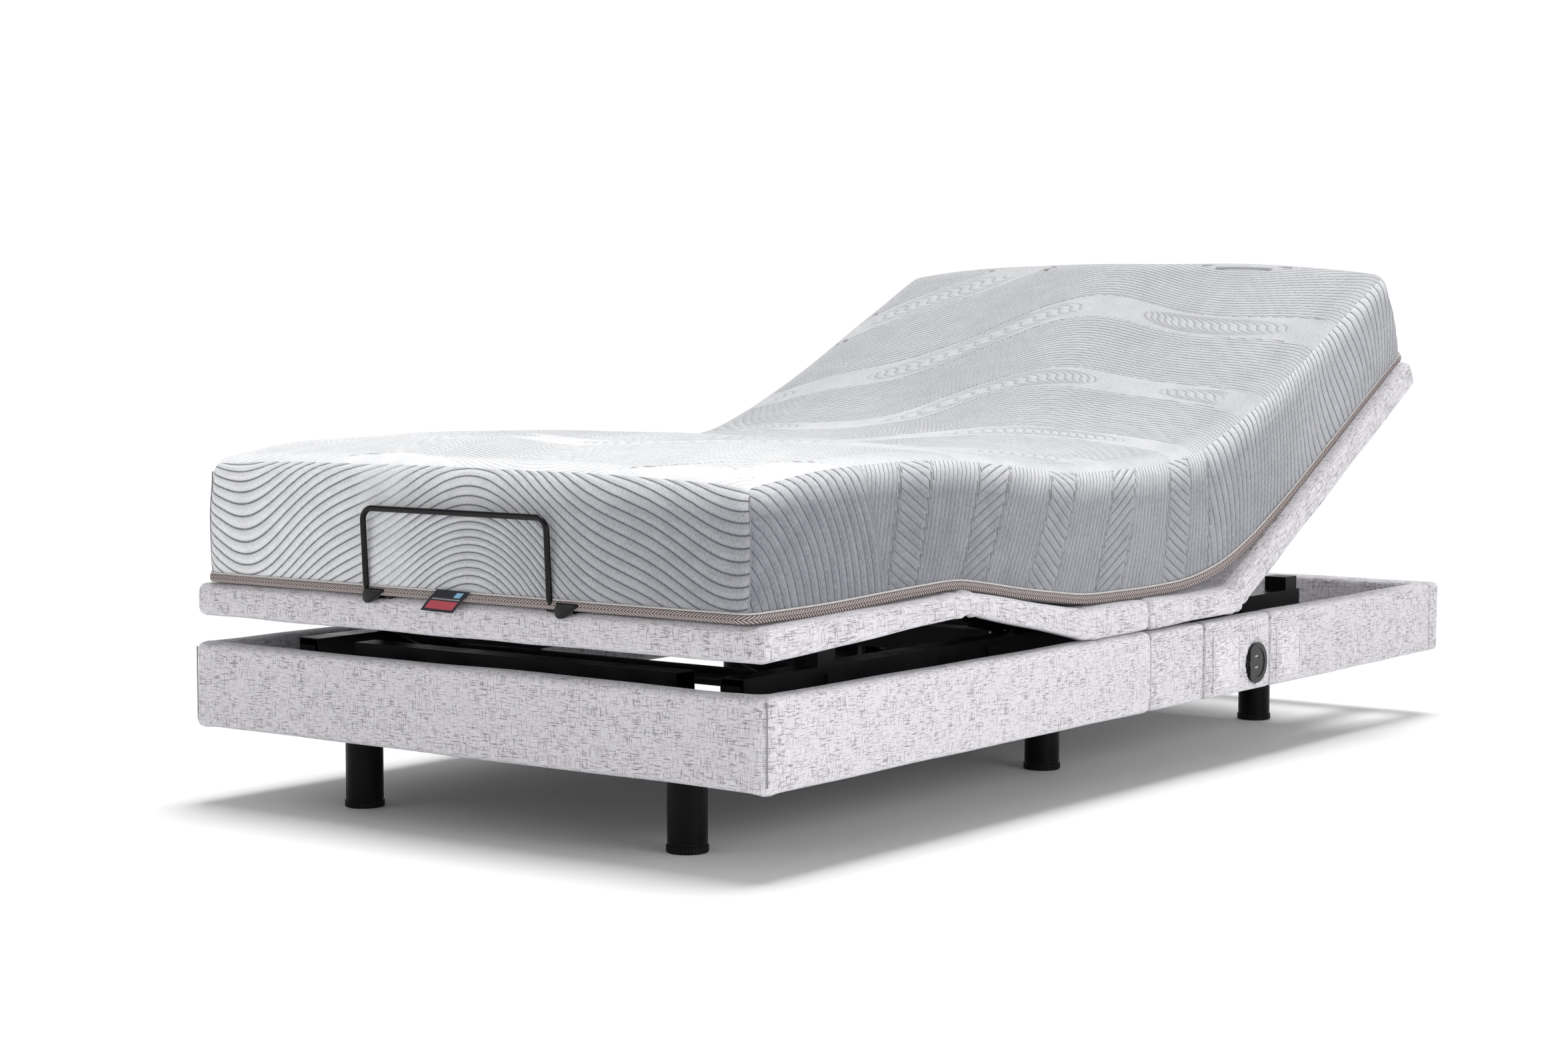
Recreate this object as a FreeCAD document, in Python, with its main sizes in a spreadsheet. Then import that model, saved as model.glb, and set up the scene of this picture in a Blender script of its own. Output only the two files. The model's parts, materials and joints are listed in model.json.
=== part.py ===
"""Adjustable bed base: upholstered rails, four deck sections, lift mechanism and mattress.

Frame: origin on the floor under the middle of the base, +Z up, +Y towards the head end,
+X to the right seen from the foot end.  The moving sections are drawn lying flat and are then
turned about their hinges to the stored pose.  Millimetres and degrees.
"""
import FreeCAD, Part
import math
import os
import re
import Sketcher
from FreeCAD import Placement, Rotation, Vector

doc = FreeCAD.newDocument("AdjustableBedBase")
X_AXIS = Vector(1, 0, 0)
SIDES = (("left", -1), ("right", 1))
SEED = 100.0  # sketches start as a circle of this radius and take their shape from constraints

# ---------------------------------------------------------------- driving dimensions

DIMENSIONS = [
    ("bed_long", 2000, "length over the foot and head rails"),
    ("bed_wide", 1060, "width over the side rails"),
    ("rail_low", 113, "underside of the rails above the floor"),
    ("rail_top", 237, "top of the rails above the floor"),
    ("rail_thick", 36, "thickness of an upholstered rail"),
    ("padding", 9, "foam and fabric over the board inside a rail"),
    ("rail_round", 7, "rounding of a rail's edges"),
    ("seam_gap", 1.5, "half of the gap between two lengths of side rail"),
    ("rail_seam_front", -36, "seam between foot and middle lengths"),
    ("rail_seam_middle", 134, "seam between middle and socket lengths"),
    ("rail_seam_rear", 352, "seam between socket and head lengths"),
    ("base_split", -35, "plane where the base comes apart into two halves"),
    ("split_gap", 0.5, "half of the gap at that plane"),
    ("overcut", 1, "cutting shapes past the faces they cut"),
    ("leg_radius", 27.5, "outside of a leg tube"),
    ("leg_wall", 2, "wall of a leg tube"),
    ("leg_cap", 4, "thickness of the leg's closed top"),
    ("leg_side", 303, "distance of a leg from the middle plane"),
    ("leg_foot", -879, "foot legs"),
    ("leg_middle", 16, "middle legs"),
    ("leg_head", 727, "head legs"),
    ("glide_radius", 29, "plastic glide under a leg"),
    ("glide_tall", 13, "height of the glide below the tube"),
    ("glide_plug", 20, "plug of the glide inside the tube"),
    ("glide_edge", 1.5, "bevel under a glide"),
    ("glide_collar", 2, "height of the glide's collar"),
    ("glide_rim", 3, "rim of the glide below the tube"),
    ("glide_inset", 0.5, "collar inside the tube's outline"),
    ("glide_fit", 0.1, "radial clearance of the plug"),
    ("knurl_radius", 0.9, "radius of one groove of the knurled glide"),
    ("knurl_count", 36, "grooves round the glide"),
    ("bolt_radius", 5, "leg bolt"),
    ("bolt_hole", 5.2, "hole for a leg bolt"),
    ("bolt_head", 9, "corner radius of a leg bolt head and nut"),
    ("bolt_head_tall", 6, "height of a leg bolt head and nut"),
    ("bolt_spare", 2, "leg bolt past its nut"),
    ("tube_size", 40, "width of the frame tubes"),
    ("tube_wall", 2, "wall of the frame tubes"),
    ("beam_near", 375, "inner face of a side beam"),
    ("beam_far", 415, "outer face of a side beam"),
    ("beam_low", 183, "underside of a side beam, top of the cross tubes"),
    ("beam_top", 243, "top of a side beam"),
    ("beam_foot_end", -899, "foot end of the side beams"),
    ("beam_head_end", 676, "head end of the side beams"),
    ("head_stub_start", 560, "front end of the stubs under the side beams"),
    ("riser_half", 300, "half width of the beam on the foot cross tube"),
    ("riser_top", 243, "top of the beam on the foot cross tube"),
    ("leg_bracket_near", 265, "inner end of a middle leg bracket"),
    ("motor_tube_low", 193, "underside of the tubes that carry the motors"),
    ("motor_tube_front", -120, "front motor tube"),
    ("motor_tube_rear", 140, "rear motor tube"),
    ("splice_start", -95, "foot end of a splice plate"),
    ("splice_end", 25, "head end of a splice plate"),
    ("splice_low", 190, "lower edge of a splice plate"),
    ("splice_high", 236, "upper edge of a splice plate"),
    ("splice_thick", 6, "thickness of a splice plate"),
    ("splice_bolt", 4, "splice bolt"),
    ("splice_head", 7.2, "head of a splice bolt"),
    ("splice_head_tall", 4, "height of that head"),
    ("splice_reach", 8, "splice bolt past the beam's inner face"),
    ("splice_inset", 20, "splice bolts from the ends of a plate"),
    ("splice_edge", 10, "splice bolts from the edges of a plate"),
    ("deck_half", 525, "half width of the deck sections"),
    ("deck_low", 238, "underside of a flat deck section"),
    ("deck_top", 286, "top of a flat deck section"),
    ("board_low", 266, "underside of a deck board"),
    ("board_top", 278, "top of a deck board"),
    ("board_half", 515, "half width of a deck board"),
    ("recess_half", 497, "half width of the recess under a deck section"),
    ("border", 28, "width of the upholstered border at a free end"),
    ("board_inset", 10, "deck board behind the free end of its cover"),
    ("hinge_level", 240, "height of the back and thigh hinges"),
    ("back_hinge", 252, "back hinge"),
    ("thigh_hinge", -208, "thigh hinge"),
    ("knee_hinge", -535, "knee hinge"),
    ("knee_level", 256, "height of the knee hinge in the flat pose"),
    ("back_end", 987, "head end of the flat back section"),
    ("foot_end", -1006, "foot end of the flat foot section"),
    ("back_angle", 28.7, "back section above flat in the stored pose"),
    ("back_travel", 62, "back section, flat to fully raised"),
    ("thigh_angle", 11.2, "thigh section above flat in the stored pose"),
    ("thigh_travel", 32, "thigh section, flat to fully raised"),
    ("knee_ratio", 1.277, "turn of the knee for each degree of the thigh"),
    ("back_bevel", 31.6, "slope of the soft faces either side of the back hinge"),
    ("thigh_bevel", 16.6, "slope of the soft faces either side of the thigh hinge"),
    ("knee_bevel", 21.2, "slope of the soft faces below the knee hinge"),
    ("fold_gap", 0.6, "least gap beside a hinge"),
    ("back_setback", 26, "deck boards clear of the back hinge"),
    ("thigh_setback", 14, "deck boards clear of the thigh hinge"),
    ("knee_setback", 6, "deck boards clear of the knee hinge"),
    ("frame_near", 340, "inner face of a section's long tubes"),
    ("frame_far", 360, "outer face of a section's long tubes"),
    ("frame_low", 246, "underside of the section tubes"),
    ("frame_wall", 1.5, "wall of the section tubes"),
    ("frame_start", 12, "long tube clear of the hinge axis"),
    ("frame_stop", 31, "long tube clear of the free end of its section"),
    ("back_crank_tube", 290, "front face of the back section's crank tube"),
    ("back_cross_middle", 600, "front face of the back section's middle tube"),
    ("thigh_crank_tube", -242, "rear face of the thigh section's crank tube"),
    ("knee_start", 14, "long tubes clear of the knee hinge"),
    ("thigh_cross_place", 26, "thigh section's front tube from the knee hinge"),
    ("foot_cross_place", 55, "foot section's rear tube from the knee hinge"),
    ("foot_cross_middle", -770, "front face of the foot section's middle tube"),
    ("lug_thick", 6, "thickness of a hinge lug"),
    ("lug_radius", 14, "outline of a main hinge lug round its pin"),
    ("lug_long", 78, "length of a main hinge lug along its tube"),
    ("lug_drop", 6, "main hinge lug below the level of its tube"),
    ("plate_near", 367.5, "inner face of the fixed hinge plates"),
    ("plate_half", 28, "half length of a fixed hinge plate"),
    ("plate_radius", 16, "outline of a hinge plate round its pin"),
    ("plate_low", 190, "lower edge of the hinge plates"),
    ("link_plate_low", 184, "lower edge of the plates at the cross shaft"),
    ("pin_radius", 6, "main hinge pin"),
    ("pin_running", 0.05, "radial running clearance of a hinge pin"),
    ("pin_head", 9, "head of a main hinge pin"),
    ("pin_head_start", 353, "inner end of a main hinge pin"),
    ("pin_head_end", 359.4, "underside of a main hinge pin's head"),
    ("knee_pin", 5, "knee hinge pin"),
    ("knee_pin_head", 8, "head of a knee pin"),
    ("knee_pin_head_tall", 4, "height of that head"),
    ("knee_pin_spare", 1, "knee pin past its outer lug"),
    ("knee_lug_radius", 10, "outline of a knee lug round its pin"),
    ("knee_lug_long", 95, "length of a knee lug along its tube"),
    ("link_pivot", -655.6, "fixed pivot of the foot support links"),
    ("link_level", 205, "height of that pivot"),
    ("link_long", 213.9, "pivot distance of a support link"),
    ("link_angle", 22.68, "support link above level in the stored pose"),
    ("link_near", 325, "inner face of a support link"),
    ("link_far", 333, "outer face of a support link"),
    ("link_half", 14, "half height of a support link"),
    ("link_boss", 20, "boss of a support link round the shaft"),
    ("link_pin_gap", 0.2, "link pin clear of the section's tube"),
    ("link_eye", -863.5, "link pivot on the flat foot section"),
    ("link_eye_level", 242, "height of that pivot on the flat foot section"),
    ("link_eye_hole", 8.4, "oversize hole that the link pin works in"),
    ("link_lug_radius", 16, "outline of the link lug round its hole"),
    ("shaft_radius", 14, "cross shaft of the support links"),
    ("journal_radius", 10, "bearing end of the cross shaft"),
    ("shaft_gap", 0.5, "cross shaft clear of the hinge plates"),
    ("motor_side", 90, "distance of each motor from the middle plane"),
    ("motor_level", 150, "height of the push rods"),
    ("crank_arm", 90, "drop from the hinge to the push rod"),
    ("crank_near", 8, "inner face of a crank plate, from the motor's plane"),
    ("crank_far", 14, "outer face of a crank plate, from the motor's plane"),
    ("crank_half", 17, "half width of a crank plate"),
    ("crank_end", 16, "crank plate past the end of its slot"),
    ("crank_head", 4, "crank plate above its hinge"),
    ("crank_foot_back", 12, "crank's foot behind its hinge"),
    ("crank_foot_low", 228, "lower edge of the crank's foot on its tube"),
    ("crank_foot_high", 262, "upper edge of the crank's foot on its tube"),
    ("back_slot_half", 7.2, "half width of the back crank's slot"),
    ("thigh_slot_half", 5.8, "half width of the thigh crank's slot"),
    ("slot_spare", 1.5, "slot longer than the pin's path at each end"),
    ("rod_pin", 5, "pin in the push rod's eye"),
    ("rod_pin_spare", 2, "pin past the crank or clevis"),
    ("rod_radius", 11, "push rod"),
    ("rod_bore", 11.4, "bore of a motor's outer tube"),
    ("rod_eye", 14, "eye of the push rod"),
    ("rod_eye_half", 7, "half width of the eye"),
    ("rod_neck", 32, "flattened neck behind the eye"),
    ("rod_neck_half", 9, "half height of that neck"),
    ("motor_tube_radius", 18, "outer tube of a motor"),
    ("motor_tube_long", 160, "length of the outer tube"),
    ("motor_case_long", 98, "length of the gear case"),
    ("motor_neck", 22, "gear case clear of the pin in the motor's clevis"),
    ("motor_neck_half", 12, "half width of the neck to the clevis"),
    ("motor_neck_tall", 10, "half height of the neck to the clevis"),
    ("motor_case_half", 32, "half width and half height of the gear case"),
    ("motor_can_radius", 28, "motor can across the gear case"),
    ("motor_can_long", 100, "length of the motor can"),
    ("motor_can_set", 45, "motor can behind the front of the gear case"),
    ("clevis_near", 20, "inner face of a motor clevis, from the motor's plane"),
    ("clevis_low", 132, "lower edge of a motor clevis"),
    ("head_rod_start", 55, "inner end of the head push rod"),
    ("foot_rod_start", -5, "inner end of the foot push rod"),
    ("box_near", 335, "inner face of the control box and power supply"),
    ("box_start", 330, "front face of the control box and power supply"),
    ("box_end", 500, "rear face of the control box and power supply"),
    ("box_low", 187, "underside of the control box and power supply"),
    ("box_high", 241, "top of the control box and power supply"),
    ("box_round", 3, "rounding of the two boxes"),
    ("inlet_deep", 8, "depth of a box's inlet"),
    ("inlet_half", 13, "half length of the inlet"),
    ("inlet_tall", 9, "half height of the inlet"),
    ("post_front", -717, "rest posts under the foot section"),
    ("post_rear", 645, "rest posts under the back section"),
    ("post_half", 20, "half width of a rest post"),
    ("post_top", 265.6, "top of a rest post's rubber cap"),
    ("bracket_half", 20, "half length of a rail bracket"),
    ("bracket_level", 200, "underside of a rail bracket"),
    ("bracket_thick", 4, "thickness of a rail bracket"),
    ("bracket_drop", 160, "lower edge of a rail bracket's outer flange"),
    ("bracket_foot", -700, "rail brackets beside the foot section"),
    ("bracket_thigh", -300, "rail brackets beside the thigh section"),
    ("bracket_seat", 80, "rail brackets beside the seat"),
    ("bracket_back", 480, "rail brackets beside the back section"),
    ("bracket_inset", 4, "foot brackets inside the beam's width"),
    ("bracket_root_low", 187, "lower edge of a bracket's flange on the beam"),
    ("bracket_root_high", 233, "upper edge of a bracket's flange on the beam"),
    ("socket_place", 300, "USB module along the side rail"),
    ("socket_level", 158, "height of the USB module"),
    ("socket_radius", 32.5, "bezel of the USB module"),
    ("socket_flat", 23.5, "flat of the bezel from its middle"),
    ("socket_proud", 3.5, "bezel in front of the rail"),
    ("socket_barrel", 28.5, "barrel of the USB module"),
    ("socket_hole", 29, "hole in the rail for the barrel"),
    ("socket_deep", 42, "length of the barrel"),
    ("socket_dish", 24, "recessed round face"),
    ("socket_dish_deep", 1.2, "depth of that face"),
    ("port_wide", 13, "USB port width"),
    ("port_tall", 5.6, "USB port height"),
    ("port_deep", 12, "USB port depth"),
    ("port_pitch", 18, "distance between the two ports"),
    ("patch_low", 121, "lower edge of the sewn patches"),
    ("patch_high", 213, "upper edge of the sewn patches"),
    ("patch_thick", 1.2, "thickness of a sewn patch"),
    ("patch_front_start", 155, "front patch"),
    ("patch_front_end", 247, "front patch"),
    ("patch_rear_start", 368, "rear patch"),
    ("patch_rear_end", 455, "rear patch"),
    ("mattress_half", 503, "half width of the mattress"),
    ("mattress_low", 287, "underside of the mattress on the flat deck"),
    ("mattress_top", 470, "top of the mattress on the flat deck"),
    ("mattress_seat_top", 486, "top of the mattress over the seat"),
    ("mattress_inset", 3, "mattress behind the ends of the deck"),
    ("retainer_wire", 4.25, "radius of the mattress retainer's wire"),
    ("retainer_half", 170, "half width of the retainer"),
    ("retainer_plane", -1012, "plane of the retainer"),
    ("retainer_low", 291, "retainer's wire on the deck"),
    ("retainer_top", 413, "top of the retainer"),
    ("retainer_bend", 18, "bend radius of the wire"),
    ("retainer_tail", -945, "inner end of the wire under the mattress"),
    ("wedge_start", -1004, "front of a retainer wedge"),
    ("wedge_end", -934, "rear of a retainer wedge"),
    ("wedge_near", -13, "wedge to the left of its wire"),
    ("wedge_far", 37, "wedge to the right of its wire"),
    ("wedge_low", 286.3, "underside of a retainer wedge"),
    ("wedge_high", 298, "top of a retainer wedge"),
    ("relief_high", 300, "relief in the mattress over the wedges"),
    ("relief_end", -930, "rear of that relief"),
    ("relief_near", 20, "relief to the left of the left wire"),
    ("relief_gap", 3, "relief past the right wedge"),
]

sheet = doc.addObject("Spreadsheet::Sheet", "Dimensions")
for row, (alias, value, meaning) in enumerate(DIMENSIONS, start=1):
    sheet.set(f"A{row}", meaning)
    sheet.set(f"B{row}", str(value))
    sheet.setAlias(f"B{row}", alias)
doc.recompute()

ALIASES = {alias for alias, value, meaning in DIMENSIONS}
nodes = {}


def size(alias):
    """The number in a cell of the sheet."""
    return float(sheet.get(alias))


def on_sheet(formula):
    """A formula in aliases, written so that it reads the sheet."""
    return re.sub(
        r"[a-z_]+",
        lambda word: "Dimensions." + word.group() if word.group() in ALIASES else word.group(),
        str(formula),
    )


def bind(item, formulas):
    """Ties properties of an object to formulas in the sheet's aliases."""
    for prop, formula in formulas.items():
        item.setExpression(prop, on_sheet(formula))
    return item


# ---------------------------------------------------------------- building blocks


def mirrored(side, near, far):
    """Low and high X of something between two distances from the middle plane."""
    if side > 0:
        return near, far
    return f"-({far})", f"-({near})"


def about(middle, half):
    return f"({middle}) - ({half})", f"({middle}) + ({half})"


def box(name, x, y, z):
    """Box between a low and a high formula along each axis."""
    item = doc.addObject("Part::Box", name)
    for prop, base, (low, high) in (("Length", "x", x), ("Width", "y", y), ("Height", "z", z)):
        bind(item, {prop: f"({high}) - ({low})", f"Placement.Base.{base}": low})
    return item


def rod(name, axis, start, radius, long):
    """Cylinder from a start point along +X, +Y or +Z."""
    item = doc.addObject("Part::Cylinder", name)
    item.Placement = Placement(Vector(), Rotation(Vector(0, 0, 1), Vector(*axis)))
    bind(item, {"Radius": radius, "Height": long})
    for base, formula in zip("xyz", start):
        bind(item, {f"Placement.Base.{base}": formula})
    return item


def rod_x(name, x, y, z, radius):
    return rod(name, (1, 0, 0), (x[0], y, z), radius, f"({x[1]}) - ({x[0]})")


def rod_y(name, x, y, z, radius):
    return rod(name, (0, 1, 0), (x, y[0], z), radius, f"({y[1]}) - ({y[0]})")


def rod_z(name, x, y, z, radius):
    return rod(name, (0, 0, 1), (x, y, z[0]), radius, f"({z[1]}) - ({z[0]})")


def joined(name, items):
    """Several solids that stay separate pieces of one sub-part."""
    item = doc.addObject("Part::Compound", name)
    item.Links = items
    return item


def fused(name, items):
    item = doc.addObject("Part::MultiFuse", name)
    item.Shapes = items
    return item


def cut(name, base, tools):
    item = doc.addObject("Part::Cut", name)
    item.Base = base
    item.Tool = tools[0] if len(tools) == 1 else fused(name + "Tools", tools)
    return item


def rounded(blank, alias):
    """Box with all its edges rounded to a radius from the sheet."""
    item = doc.addObject("Part::Fillet", blank.Name + "Rounded")
    item.Base = blank
    doc.recompute()
    radius = size(alias)
    item.Edges = [(i + 1, radius, radius) for i in range(len(blank.Shape.Edges))]
    return item


def square_tube(name, along, x, y, z, wall="tube_wall"):
    """Hollow rectangular tube open at both ends of one axis."""
    outer = box(name + "Outside", x, y, z)
    spans = []
    for letter, (low, high) in zip("xyz", (x, y, z)):
        if letter == along:
            spans.append((low, high))
        else:
            spans.append((f"({low}) + {wall}", f"({high}) - {wall}"))
    return cut(name, outer, [box(name + "Inside", *spans)])


def sketch_on(body, role, name):
    """New sketch on one of the body's own origin planes."""
    plane = next(f for f in body.Origin.OriginFeatures if f.Role == role)
    sketch = body.newObject("Sketcher::SketchObject", name)
    sketch.AttachmentSupport = [(plane, "")]
    sketch.MapMode = "FlatFace"
    return sketch


def draw_outline(sketch, corners):
    """Closed outline of straight lines whose corners are (across, up) formulas."""
    count = len(corners)
    turns = [2 * math.pi * i / count for i in range(count)]
    starts = [Vector(SEED * math.cos(turn), SEED * math.sin(turn), 0) for turn in turns]
    for i in range(count):
        sketch.addGeometry(Part.LineSegment(starts[i], starts[(i + 1) % count]))
    for i in range(count):
        sketch.addConstraint(Sketcher.Constraint("Coincident", i, 2, (i + 1) % count, 1))
    for i, (across, up) in enumerate(corners):
        for kind, formula in (("DistanceX", across), ("DistanceY", up)):
            number = sketch.addConstraint(Sketcher.Constraint(kind, -1, 1, i, 1, 1.0))
            sketch.setExpression(f"Constraints[{number}]", on_sheet(formula))


def profile(name, half_width, outline):
    """Body padded both ways from the middle plane, from an outline of (Y, Z) formulas."""
    body = doc.addObject("PartDesign::Body", name)
    sketch = sketch_on(body, "YZ_Plane", name + "Outline")
    draw_outline(sketch, outline)
    pad = body.newObject("PartDesign::Pad", name + "Pad")
    pad.Profile = sketch
    pad.Midplane = True
    bind(pad, {"Length": f"2 * ({half_width})"})
    return body


def revolved(name, outline):
    """Body turned about +Z, from an outline of (radius, Z) formulas."""
    body = doc.addObject("PartDesign::Body", name)
    sketch = sketch_on(body, "XZ_Plane", name + "Outline")
    draw_outline(sketch, outline)
    turn = body.newObject("PartDesign::Revolution", name + "Turn")
    turn.Profile = sketch
    turn.ReferenceAxis = (sketch, ["V_Axis"])
    turn.Angle = 360
    body.Tip = turn
    return body


def hinged(y, z, degrees):
    """Placement that turns a flat part about an axis along X, head end or foot end up."""
    return Placement(Vector(), Rotation(X_AXIS, degrees), Vector(0, y, z))


def finished(label, item, placement=None):
    """Names a sub-part and puts it where it belongs."""
    item.Label = label
    if placement is not None:
        item.Placement = placement.multiply(item.Placement)
    nodes[label] = item
    return item


# ---------------------------------------------------------------- fixed steel frame


def side_beams():
    for half, start, end in (
        ("foot", "beam_foot_end", "base_split - split_gap"),
        ("head", "base_split + split_gap", "beam_head_end"),
    ):
        for word, side in SIDES:
            name = f"{half}_side_beam_{word}"
            x = mirrored(side, "beam_near", "beam_far")
            tube = square_tube(name + "Tube", "y", x, (start, end), ("beam_low", "beam_top"))
            through = mirrored(side, "beam_near - overcut", "beam_near + tube_wall + overcut")
            holes = [rod_x(f"{name}Hole{i}", through, y, z, "splice_bolt")
                     for i, (y, z) in enumerate(splice_places(half))]
            finished(name, cut(name, tube, holes))


def splice_places(half):
    """Bolt places of one half of a splice plate."""
    along = "splice_start + splice_inset" if half == "foot" else "splice_end - splice_inset"
    return [(along, "splice_low + splice_edge"), (along, "splice_high - splice_edge")]


def splice_plates():
    plates = []
    bolts = []
    for word, side in SIDES:
        x = mirrored(side, "beam_near - splice_thick", "beam_near")
        blank = box(f"splice_blank_{word}", x, ("splice_start", "splice_end"),
                    ("splice_low", "splice_high"))
        places = splice_places("foot") + splice_places("head")
        holes = [rod_x(f"splice_hole_{word}{i}", x, y, z, "splice_bolt")
                 for i, (y, z) in enumerate(places)]
        plates.append(cut(f"splice_plate_{word}", blank, holes))
        outside = "beam_near - splice_thick - splice_head_tall"
        shank = mirrored(side, outside, "beam_near + splice_reach")
        head = mirrored(side, outside, "beam_near - splice_thick")
        for i, (y, z) in enumerate(places):
            bolts.append(fused(f"splice_bolt_{word}{i}", [
                rod_x(f"splice_shank_{word}{i}", shank, y, z, "splice_bolt"),
                rod_x(f"splice_head_{word}{i}", head, y, z, "splice_head"),
            ]))
    finished("splice_plates", joined("splice_plates", plates))
    finished("frame_bolts", joined("frame_bolts", bolts))


def leg_hole(name, x, y):
    low = "beam_low - tube_size"
    return rod_z(name, x, y, (f"{low} - overcut", f"{low} + tube_wall + overcut"), "bolt_hole")


def foot_cross_tube():
    """Tube on the foot legs, with a second one stacked on it between the links."""
    level = ("beam_low - tube_size", "beam_low")
    tube = square_tube("foot_cross_blank", "x", ("-beam_far", "beam_far"),
                       about("leg_foot", "tube_size / 2"), level)
    holes = [leg_hole(f"foot_leg_hole_{word}", f"{side} * leg_side", "leg_foot")
             for word, side in SIDES]
    riser = square_tube("foot_cross_riser", "x", ("-riser_half", "riser_half"),
                        about("leg_foot", "tube_size / 2"), ("beam_low", "riser_top"))
    pieces = [cut("foot_cross_bar", tube, holes), riser]
    finished("foot_cross_tube", joined("foot_cross_tube", pieces))


def head_cross_frame():
    level = ("beam_low - tube_size", "beam_low")
    tube = square_tube("head_cross_blank", "x", ("-beam_far", "beam_far"),
                       about("leg_head", "tube_size / 2"), level)
    holes = [leg_hole(f"head_leg_hole_{word}", f"{side} * leg_side", "leg_head")
             for word, side in SIDES]
    pieces = [cut("head_cross_tube", tube, holes)]
    for word, side in SIDES:
        x = mirrored(side, "beam_near", "beam_far")
        for part, span in (
            ("front", ("head_stub_start", "leg_head - tube_size / 2")),
            ("rear", ("leg_head + tube_size / 2", "bed_long / 2 - rail_thick")),
        ):
            pieces.append(square_tube(f"head_stub_{part}_{word}", "y", x, span, level))
    finished("head_cross_frame", joined("head_cross_frame", pieces))


def middle_leg_brackets():
    level = ("beam_low - tube_size", "beam_low")
    pieces = []
    for word, side in SIDES:
        tube = square_tube(f"leg_bracket_blank_{word}", "x",
                           mirrored(side, "leg_bracket_near", "beam_far"),
                           about("leg_middle", "tube_size / 2"), level)
        hole = leg_hole(f"leg_bracket_hole_{word}", f"{side} * leg_side", "leg_middle")
        pieces.append(cut(f"leg_bracket_{word}", tube, [hole]))
    finished("middle_leg_brackets", joined("middle_leg_brackets", pieces))


def motor_tubes():
    """Two tubes between the side beams, each with the clevis of one motor hanging from it."""
    for name, place, side in (("front", "motor_tube_front", 1), ("rear", "motor_tube_rear", -1)):
        level = ("motor_tube_low", "motor_tube_low + tube_size")
        pieces = [square_tube(f"{name}_motor_tube_bar", "x", ("-beam_near", "beam_near"),
                              about(place, "tube_size / 2"), level)]
        for ear, (low, high) in enumerate((
            ("clevis_near", "clevis_near + lug_thick"),
            ("-clevis_near - lug_thick", "-clevis_near"),
        )):
            x = (f"{side} * motor_side + {low}", f"{side} * motor_side + {high}")
            blank = box(f"{name}_clevis_blank{ear}", x, about(place, "tube_size / 2"),
                        ("clevis_low", "motor_tube_low"))
            hole = rod_x(f"{name}_clevis_hole{ear}", x, place, "motor_level", "bolt_hole")
            pieces.append(cut(f"{name}_clevis{ear}", blank, [hole]))
        finished(f"{name}_motor_tube", joined(f"{name}_motor_tube", pieces))


def hinge_plates():
    """Plates on the side beams that hold the main hinge pins and the cross shaft."""
    plates = []
    for word, side in SIDES:
        x = mirrored(side, "plate_near", "beam_near")
        for part, y, z, bore in (
            ("back", "back_hinge", "hinge_level", "pin_radius"),
            ("thigh", "thigh_hinge", "hinge_level", "pin_radius"),
            ("link", "link_pivot", "link_level", "journal_radius + pin_running"),
        ):
            name = f"hinge_plate_{part}_{word}"
            low = "plate_low" if part != "link" else "link_plate_low"
            blank = fused(name + "Blank", [
                box(name + "Foot", x, about(y, "plate_half"), (low, z)),
                rod_x(name + "Round", x, y, z, "plate_radius"),
            ])
            plates.append(cut(name, blank, [rod_x(name + "Bore", x, y, z, bore)]))
    finished("hinge_plates", joined("hinge_plates", plates))


def hinge_pins():
    pins = []
    for word, side in SIDES:
        for part, y in (("back", "back_hinge"), ("thigh", "thigh_hinge")):
            name = f"hinge_pin_{part}_{word}"
            pins.append(fused(name, [
                rod_x(name + "Shank", mirrored(side, "pin_head_start", "beam_near"),
                      y, "hinge_level", "pin_radius"),
                rod_x(name + "Head", mirrored(side, "pin_head_start", "pin_head_end"),
                      y, "hinge_level", "pin_head"),
            ]))
    finished("hinge_pins", joined("hinge_pins", pins))


def deck_supports():
    """Bars under the fixed seat boards, and capped posts that the moving sections rest on."""
    pieces = []
    for word, side in SIDES:
        x = mirrored(side, "beam_near", "beam_far")
        for half, span in (
            ("front", ("thigh_hinge + plate_half", "base_split - splice_bolt")),
            ("rear", ("base_split + splice_bolt", "back_hinge - plate_half")),
        ):
            pieces.append(square_tube(f"seat_bar_{half}_{word}", "y", x, span,
                                      ("beam_top", "board_low")))
        for part, place in (("foot", "post_front"), ("back", "post_rear")):
            pieces.append(box(f"rest_post_{part}_{word}", x, about(place, "post_half"),
                              ("beam_top", "post_top")))
    finished("deck_supports", joined("deck_supports", pieces))


# ---------------------------------------------------------------- legs


def leg_places():
    for row in ("foot", "middle", "head"):
        for word, side in SIDES:
            yield f"{row}_{word}", side, row


def legs():
    top = "beam_low - tube_size"
    for place, side, row in leg_places():
        name = f"leg_{place}"
        body = revolved(name, [
            ("leg_radius - leg_wall", "glide_tall"),
            ("leg_radius", "glide_tall"),
            ("leg_radius", top),
            ("bolt_hole", top),
            ("bolt_hole", f"{top} - leg_cap"),
            ("leg_radius - leg_wall", f"{top} - leg_cap"),
        ])
        spot = Placement(Vector(side * size("leg_side"), size(f"leg_{row}"), 0), Rotation())
        finished(name, body, spot)


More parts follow.
